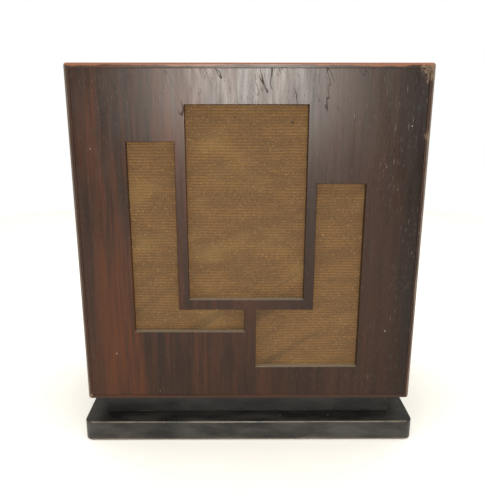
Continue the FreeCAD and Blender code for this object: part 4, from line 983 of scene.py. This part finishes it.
@dataclass
class Loudspeaker:
    """The cone, its leather surround and the balanced-armature driver behind it."""

    creases: int = 48
    steps: int = 192
    crease: float = 0.0004
    leather: float = 0.0005
    roll_inset: float = 0.0138  # the roll's middle, in from the rim
    roll_half: float = 0.0025
    outline: tuple[tuple[float, float], ...] = (  # the leather's way in from the rim, and its height
        (0.018, 0.0004), (0.0165, 0.0006), (0.0155, 0.0022), (0.0138, 0.0032),
        (0.0121, 0.0022), (0.0110, 0.0005), (0.0102, 0.0004), (0.0005, 0.0004))

    def build(self) -> None:
        """Dresses the loudspeaker and makes its surround."""
        enamel = Moulded("black_stoved_enamel", 0.35, colour="#121214", handled="#242427")
        dress(enamel.make(), "speaker_basket")
        paper = Fibre("buff_cone_paper", 0.8, colour="#a88f63", fleck="#c4ab7c", fibre_mm=1.2, length_mm=7,
                      depth_mm=0.12)
        dress(paper.make(), "speaker_cone")
        aluminium = Metal("rolled_aluminium", 0.35, colour="#c9cbcd", tarnish="#96989a", tarnished=0.4)
        dress(aluminium.make(), "cone_washers", "tuner_end_plates", "fixed_vanes", "moving_vanes")
        dress(Metal("turned_brass", 0.28).make(), "drive_rod", "rod_nuts", "adjusting_screw")
        steel = Metal("zinc_plated_plate", 0.38, colour="#a5a6a8", tarnish="#716e6a", tarnished=0.4)
        dress(steel.make(), "driver_plate", "driver_clamp", "driver_bolts")
        red = Moulded("dull_red_magnet_paint", 0.55, colour="#5d1a13", handled="#3a120d", texture_mm=2,
                      depth_mm=0.08)
        dress(red.make(), "horseshoe_magnet")
        iron = Metal("annealed_soft_iron", 0.5, colour="#5b5957", tarnish="#3a322c", tarnished=0.8)
        dress(iron.make(), "pole_pieces", "armature_reed")
        paxolin = Moulded("varnished_paxolin", 0.4, colour="#4f2c14", handled="#6b3f1e")
        dress(paxolin.make(), "coil_bobbin", "coil_former")
        wire = Winding("enamelled_copper_wire", 0.35, colour="#8a3d1c", gap="#3a160a", wire_mm=0.8,
                       along=Axis.Z)
        dress(wire.make(), "driver_winding")
        self.sew_surround()

    def sew_surround(self) -> None:
        """A rolled kid-leather ring with small radial creases."""
        low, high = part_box("cone_surround")
        middle = (low + high) / 2
        outer = (high.x - low.x) / 2
        shape = bmesh.new()
        verts = [shape.verts.new((outer - inset, 0.0, height)) for inset, height in self.outline]
        edges = [shape.edges.new(pair) for pair in zip(verts, verts[1:])]
        bmesh.ops.spin(shape, geom=[*verts, *edges], cent=(0, 0, 0), axis=(0, 0, 1), dvec=(0, 0, 0),
                       angle=math.tau, steps=self.steps, use_merge=True)
        for vert in shape.verts:
            off = abs(vert.co.xy.length - (outer - self.roll_inset))
            roll = max(0.0, 1 - off / self.roll_half)
            vert.co.z += self.crease * roll * math.sin(self.creases * math.atan2(vert.co.y, vert.co.x))
        turn = Matrix.Rotation(-math.pi / 2, 3, "X")
        bmesh.ops.rotate(shape, cent=(0, 0, 0), matrix=turn, verts=shape.verts)
        bmesh.ops.translate(shape, vec=(middle.x, low.y, middle.z), verts=shape.verts)
        kid = Fibre("kid_leather", 0.7, colour="#8d7350", fleck="#a58a63", fibre_mm=1.0, length_mm=1.6,
                    depth_mm=0.1)
        ring = piece("surround_roll", mesh_from(shape, "surround_roll"), kid.make(), "cabinet",
                     ("cone_surround",))
        thicken(ring, self.leather)


@dataclass
class Tuner:
    """The variable condenser, its knob, and the dial with engraved divisions."""

    divisions: int = 50
    sweep: float = math.pi
    inner: float = 0.027
    edge_lift: float = 0.0008
    top_lift: float = 0.003
    line_wide: float = 0.00035
    line_deep: float = 0.00006
    long_line: float = 0.0042
    short_line: float = 0.0026
    line_inset: float = 0.0006
    digit_tall: float = 0.0042
    digit_deep: float = 0.00004
    digit_inset: float = 0.0076

    def build(self) -> None:
        """Dresses the tuner and engraves its dial."""
        brass = Metal("lacquered_brass", 0.26, colour="#c29a4e", tarnish="#8a6530", tarnished=0.45).make()
        dress(brass, "tuner_posts", "tuning_shaft", "shaft_bush", "dial_pointer")
        ebonite = Moulded("turned_ebonite", 0.26, colour="#14100e", handled="#2a221c", texture_mm=1.2,
                          depth_mm=0.02)
        dress(ebonite.make(), "tuning_dial", "tuning_knob")
        self.engrave(Paint("white_filling_wax", 0.7).make())

    def on_bevel(self, angle: float, radius: float) -> Matrix:
        """Finds a place on the dial's sloping rim.

        Args:
            angle: Radians clockwise from the top, seen from behind the cabinet.
            radius: Distance from the dial's middle.

        Returns:
            A matrix whose x runs clockwise, y outwards and z out of the surface.
        """
        low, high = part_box("tuning_dial")
        outer = (high.x - low.x) / 2
        slope = math.atan2(self.top_lift - self.edge_lift, outer - self.inner)
        out = Vector((-math.sin(angle), 0, math.cos(angle)))
        right = Vector((-math.cos(angle), 0, -math.sin(angle)))
        up = out * math.cos(slope) - Vector((0, math.sin(slope), 0))
        normal = right.cross(up)
        lift = self.top_lift - (radius - self.inner) * math.tan(slope)
        spot = Vector(((low.x + high.x) / 2, low.y + lift, (low.z + high.z) / 2)) + out * radius
        place = Matrix((right, up, normal)).transposed().to_4x4()
        place.translation = spot
        return place

    def engrave(self, wax: Material) -> None:
        """Cuts the divisions and numbers 0 to 100 over half a turn.

        Args:
            wax: What the cuts are filled with.
        """
        low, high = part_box("tuning_dial")
        outer = (high.x - low.x) / 2
        lines = bmesh.new()
        for step in range(self.divisions + 1):
            long = self.long_line if step % 5 == 0 else self.short_line
            angle = self.sweep * (1 - step / self.divisions)
            place = self.on_bevel(angle, outer - self.line_inset - long / 2)
            size = Matrix.Diagonal((self.line_wide, long, self.line_deep, 1))
            bmesh.ops.create_cube(lines, size=1.0, matrix=place @ size)
        piece("dial_divisions", mesh_from(lines, "dial_divisions", False), wax, "tuner")
        numbers = bmesh.new()
        for tens in range(0, 101, 10):
            text = bpy.data.curves.new("number", "FONT")
            text.body = str(tens)
            text.size = self.digit_tall
            text.extrude = self.digit_deep
            text.align_x = "CENTER"
            text.align_y = "CENTER"
            flat = mesh_of_curve("number", text)
            flat.transform(self.on_bevel(self.sweep * (1 - tens / 100), outer - self.digit_inset))
            numbers.from_mesh(flat)
        piece("dial_numbers", mesh_from(numbers, "dial_numbers", False), wax, "tuner")


@dataclass
class Detector:
    """The glass-cased cat's-whisker detector."""

    turns: int = 7
    per_turn: int = 16
    wire: float = 0.00022
    tail: float = 0.2  # the straight shares of the whisker's length, and the coil's share
    coil_from: float = 0.24
    coil_long: float = 0.68
    seed: int = 7
    cubes: int = 46
    broken: float = 0.0009  # how far the crystal's broken face stands back
    face_share: float = 0.78
    sides: tuple[float, float] = (0.0005, 0.0014)
    rises: tuple[float, float] = (0.0001, 0.0008)
    tilt: float = 0.25

    def build(self) -> None:
        """Dresses the detector, winds its whisker and breaks its crystal."""
        brass = Metal("detector_brass", 0.25, colour="#c9a052", tarnish="#8a6530", tarnished=0.4).make()
        dress(brass, "detector_pillars", "detector_caps", "detector_ball", "whisker_rod")
        dress(TubeGlass("soda_glass_tube", 0.03, 1.5).make(), "detector_glass")
        knob = Moulded("whisker_knob_ebonite", 0.24, colour="#14100e", handled="#2a221c")
        dress(knob.make(), "whisker_knob")
        self.wind_whisker()
        self.break_crystal()

    def wind_whisker(self) -> None:
        """A springy coil of bronze wire that ends in a straight point."""
        low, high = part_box("cat_whisker")
        start = Vector((low.x, (low.y + high.y) / 2, (low.z + high.z) / 2))
        along = Vector((high.x - low.x, 0, 0))
        radius = (high.z - low.z) / 2 - self.wire
        points = [start, start + along * self.tail]
        count = self.turns * self.per_turn
        for step in range(count + 1):
            share = step / count
            swell = math.sin(math.pi * min(1, max(0.02, share * 1.02))) ** 0.35
            angle = math.tau * step / self.per_turn
            out = Vector((0, math.cos(angle), math.sin(angle))) * radius * swell
            points.append(start + along * (self.coil_from + self.coil_long * share) + out)
        points.append(start + along)
        curve = bpy.data.curves.new("whisker", "CURVE")
        curve.dimensions = "3D"
        curve.bevel_depth = self.wire
        curve.bevel_resolution = 3
        curve.use_fill_caps = True
        spline = curve.splines.new("NURBS")
        spline.points.add(len(points) - 1)
        for target, point in zip(spline.points, points):
            target.co = (*point, 1.0)
        spline.order_u = 3
        spline.use_endpoint_u = True
        mesh = mesh_of_curve("whisker", curve)
        bronze = Metal("phosphor_bronze_wire", 0.25, colour="#b9773f", tarnish="#8a5528", tarnished=0.3)
        piece("whisker_coil", mesh, bronze.make(), "whisker", ("cat_whisker",))

    def break_crystal(self) -> None:
        """A lump of galena: a round plug with small stepped cubes on its broken face."""
        low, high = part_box("galena_crystal")
        middle = (low + high) / 2
        radius = (high.z - low.z) / 2
        dice = random.Random(self.seed)
        shape = bmesh.new()
        bmesh.ops.create_cone(shape, cap_ends=True, segments=24, radius1=radius * 0.98,
                              radius2=radius * 0.9, depth=high.x - low.x - self.broken)
        lie = Matrix.Rotation(math.pi / 2, 4, "Y")
        lie.translation = middle - Vector((self.broken / 2, 0, 0))
        bmesh.ops.transform(shape, matrix=lie, verts=shape.verts)
        face = high.x - self.broken
        for _ in range(self.cubes):
            angle, reach = dice.uniform(0, math.tau), radius * self.face_share * math.sqrt(dice.random())
            side, rise = dice.uniform(*self.sides), dice.uniform(*self.rises)
            out = Vector((0, math.cos(angle), math.sin(angle))) * reach
            spot = Vector((face - side / 2 + rise, middle.y, middle.z)) + out
            turn, leaning = dice.uniform(-self.tilt, self.tilt), [dice.random() for _ in range(3)]
            leaning[2] += 0.1
            place = Matrix.Translation(spot) @ Matrix.Rotation(turn, 4, Vector(leaning))
            bmesh.ops.create_cube(shape, size=side, matrix=place)
        galena = Mineral("broken_galena", 0.25).make()
        piece("galena_lump", mesh_from(shape, "galena_lump", False), galena, "cabinet",
              ("galena_crystal",))


@dataclass
class Receiver:
    """The tap switch, the terminals and the tuning coil."""

    nuts: tuple[str, ...] = ("aerial_nut", "earth_nut", "phone_nut_upper", "phone_nut_lower")

    def build(self) -> None:
        """Dresses the receiver's parts."""
        bright = Metal("turned_terminal_brass", 0.24, colour="#c79c4c", tarnish="#8b6731", tarnished=0.5)
        dress(bright.make(), "terminal_posts", "terminal_hex_nuts", *self.nuts)
        rubbed = Metal("polished_contact_brass", 0.2, colour="#cfa658", tarnish="#8b6731", tarnished=0.3)
        dress(rubbed.make(), "contact_studs", "switch_arm")
        knob = Moulded("switch_knob_ebonite", 0.26, colour="#14100e", handled="#2a221c", texture_mm=1.2)
        dress(knob.make(), "switch_knob")
        dress(Winding("green_cotton_covered_wire", 0.8).make(), "coil_winding")


@dataclass(frozen=True)
class Softbox:
    """One soft light: where it hangs, the point it faces, its size in metres, its watts and its colour."""

    name: str
    spot: tuple[float, float, float]
    aim: tuple[float, float, float]
    size: tuple[float, float]
    power: float
    colour: str

    def hang(self) -> None:
        """Hangs the light."""
        lamp = bpy.data.lights.new(self.name, "AREA")
        lamp.shape = "RECTANGLE"
        lamp.size, lamp.size_y = self.size
        lamp.energy = self.power
        lamp.color = linear(self.colour)[:3]
        holder = bpy.data.objects.new(self.name, lamp)
        holder.location = self.spot
        holder.rotation_euler = (Vector(self.aim) - Vector(self.spot)).to_track_quat("-Z", "Y").to_euler()
        bpy.context.scene.collection.objects.link(holder)


@dataclass
class Studio:
    """A pale floor, a pale surround, soft lights and the camera."""

    softboxes: tuple[Softbox, ...] = (
        Softbox("ceiling_softbox", (0.0, -0.1, 2.1), (0.0, -0.1, 0.0), (3.0, 3.0), 68, "#fffdf8"),
        Softbox("front_softbox", (0.03, -1.9, 0.42), (0.0, -0.089, 0.32), (0.5, 0.28), 36, "#fffaf2"))
    camera_place: tuple[float, float, float] = (-0.00873, -0.5682, 0.3172)
    look_down: float = 0.26197
    look_right: float = 0.0048
    lens_mm: float = 40.214
    film_mm: float = 36.0
    floor_radius: float = 1.2
    room_seen: float = 1.0
    room_thrown: float = 0.4

    def build(self) -> None:
        """Sets the scene round the object."""
        self.lay_floor()
        self.light_room()
        for softbox in self.softboxes:
            softbox.hang()
        self.place_camera()

    def lay_floor(self) -> None:
        """A round sheet of pale paper far wider than the view."""
        shape = bmesh.new()
        bmesh.ops.create_circle(shape, cap_ends=True, segments=96, radius=self.floor_radius)
        mesh = mesh_from(shape, "floor")
        paper = Paint("pale_paper", 0.9, colour="#fbfaf7", mottle="#f7f5f0", size_mm=60)
        mesh.materials.append(paper.make())
        floor = bpy.data.objects.new("floor", mesh)
        bpy.context.scene.collection.objects.link(floor)

    def light_room(self) -> None:
        """A white surround to the eye that throws a softer light."""
        world = bpy.data.worlds.new("pale_room")
        bpy.context.scene.world = world
        world.use_nodes = True
        tree = world.node_tree
        tree.nodes.clear()
        seen = add(tree, "Background", {"Color": WHITE, "Strength": self.room_seen})
        thrown = add(tree, "Background", {"Color": linear("#fffaf3"), "Strength": self.room_thrown})
        ray = add(tree, "LightPath").outputs["Is Camera Ray"]
        mixed = add(tree, "MixShader", {0: ray, 1: thrown.outputs[0], 2: seen.outputs[0]})
        add(tree, "OutputWorld", {"Surface": mixed.outputs[0]})

    def place_camera(self) -> None:
        """Stands the camera in front, level with the cabinet's top and looking down at it."""
        eye = bpy.data.cameras.new("camera")
        eye.lens = self.lens_mm
        eye.sensor_width = self.film_mm
        eye.clip_start = 0.01
        holder = bpy.data.objects.new("camera", eye)
        holder.location = self.camera_place
        holder.rotation_euler = (math.pi / 2 - self.look_down, 0.0, -self.look_right)
        bpy.context.scene.collection.objects.link(holder)
        bpy.context.scene.camera = holder
        bpy.context.scene.view_settings.view_transform = "Standard"


def main() -> None:
    """Builds each sub-assembly in order."""
    logging.basicConfig(level=logging.INFO, format="%(message)s")
    for part in (Cabinet(), Plinth(), Grille(), Loudspeaker(), Tuner(), Detector(), Receiver(), Studio()):
        part.build()


if __name__ == "__main__":
    main()
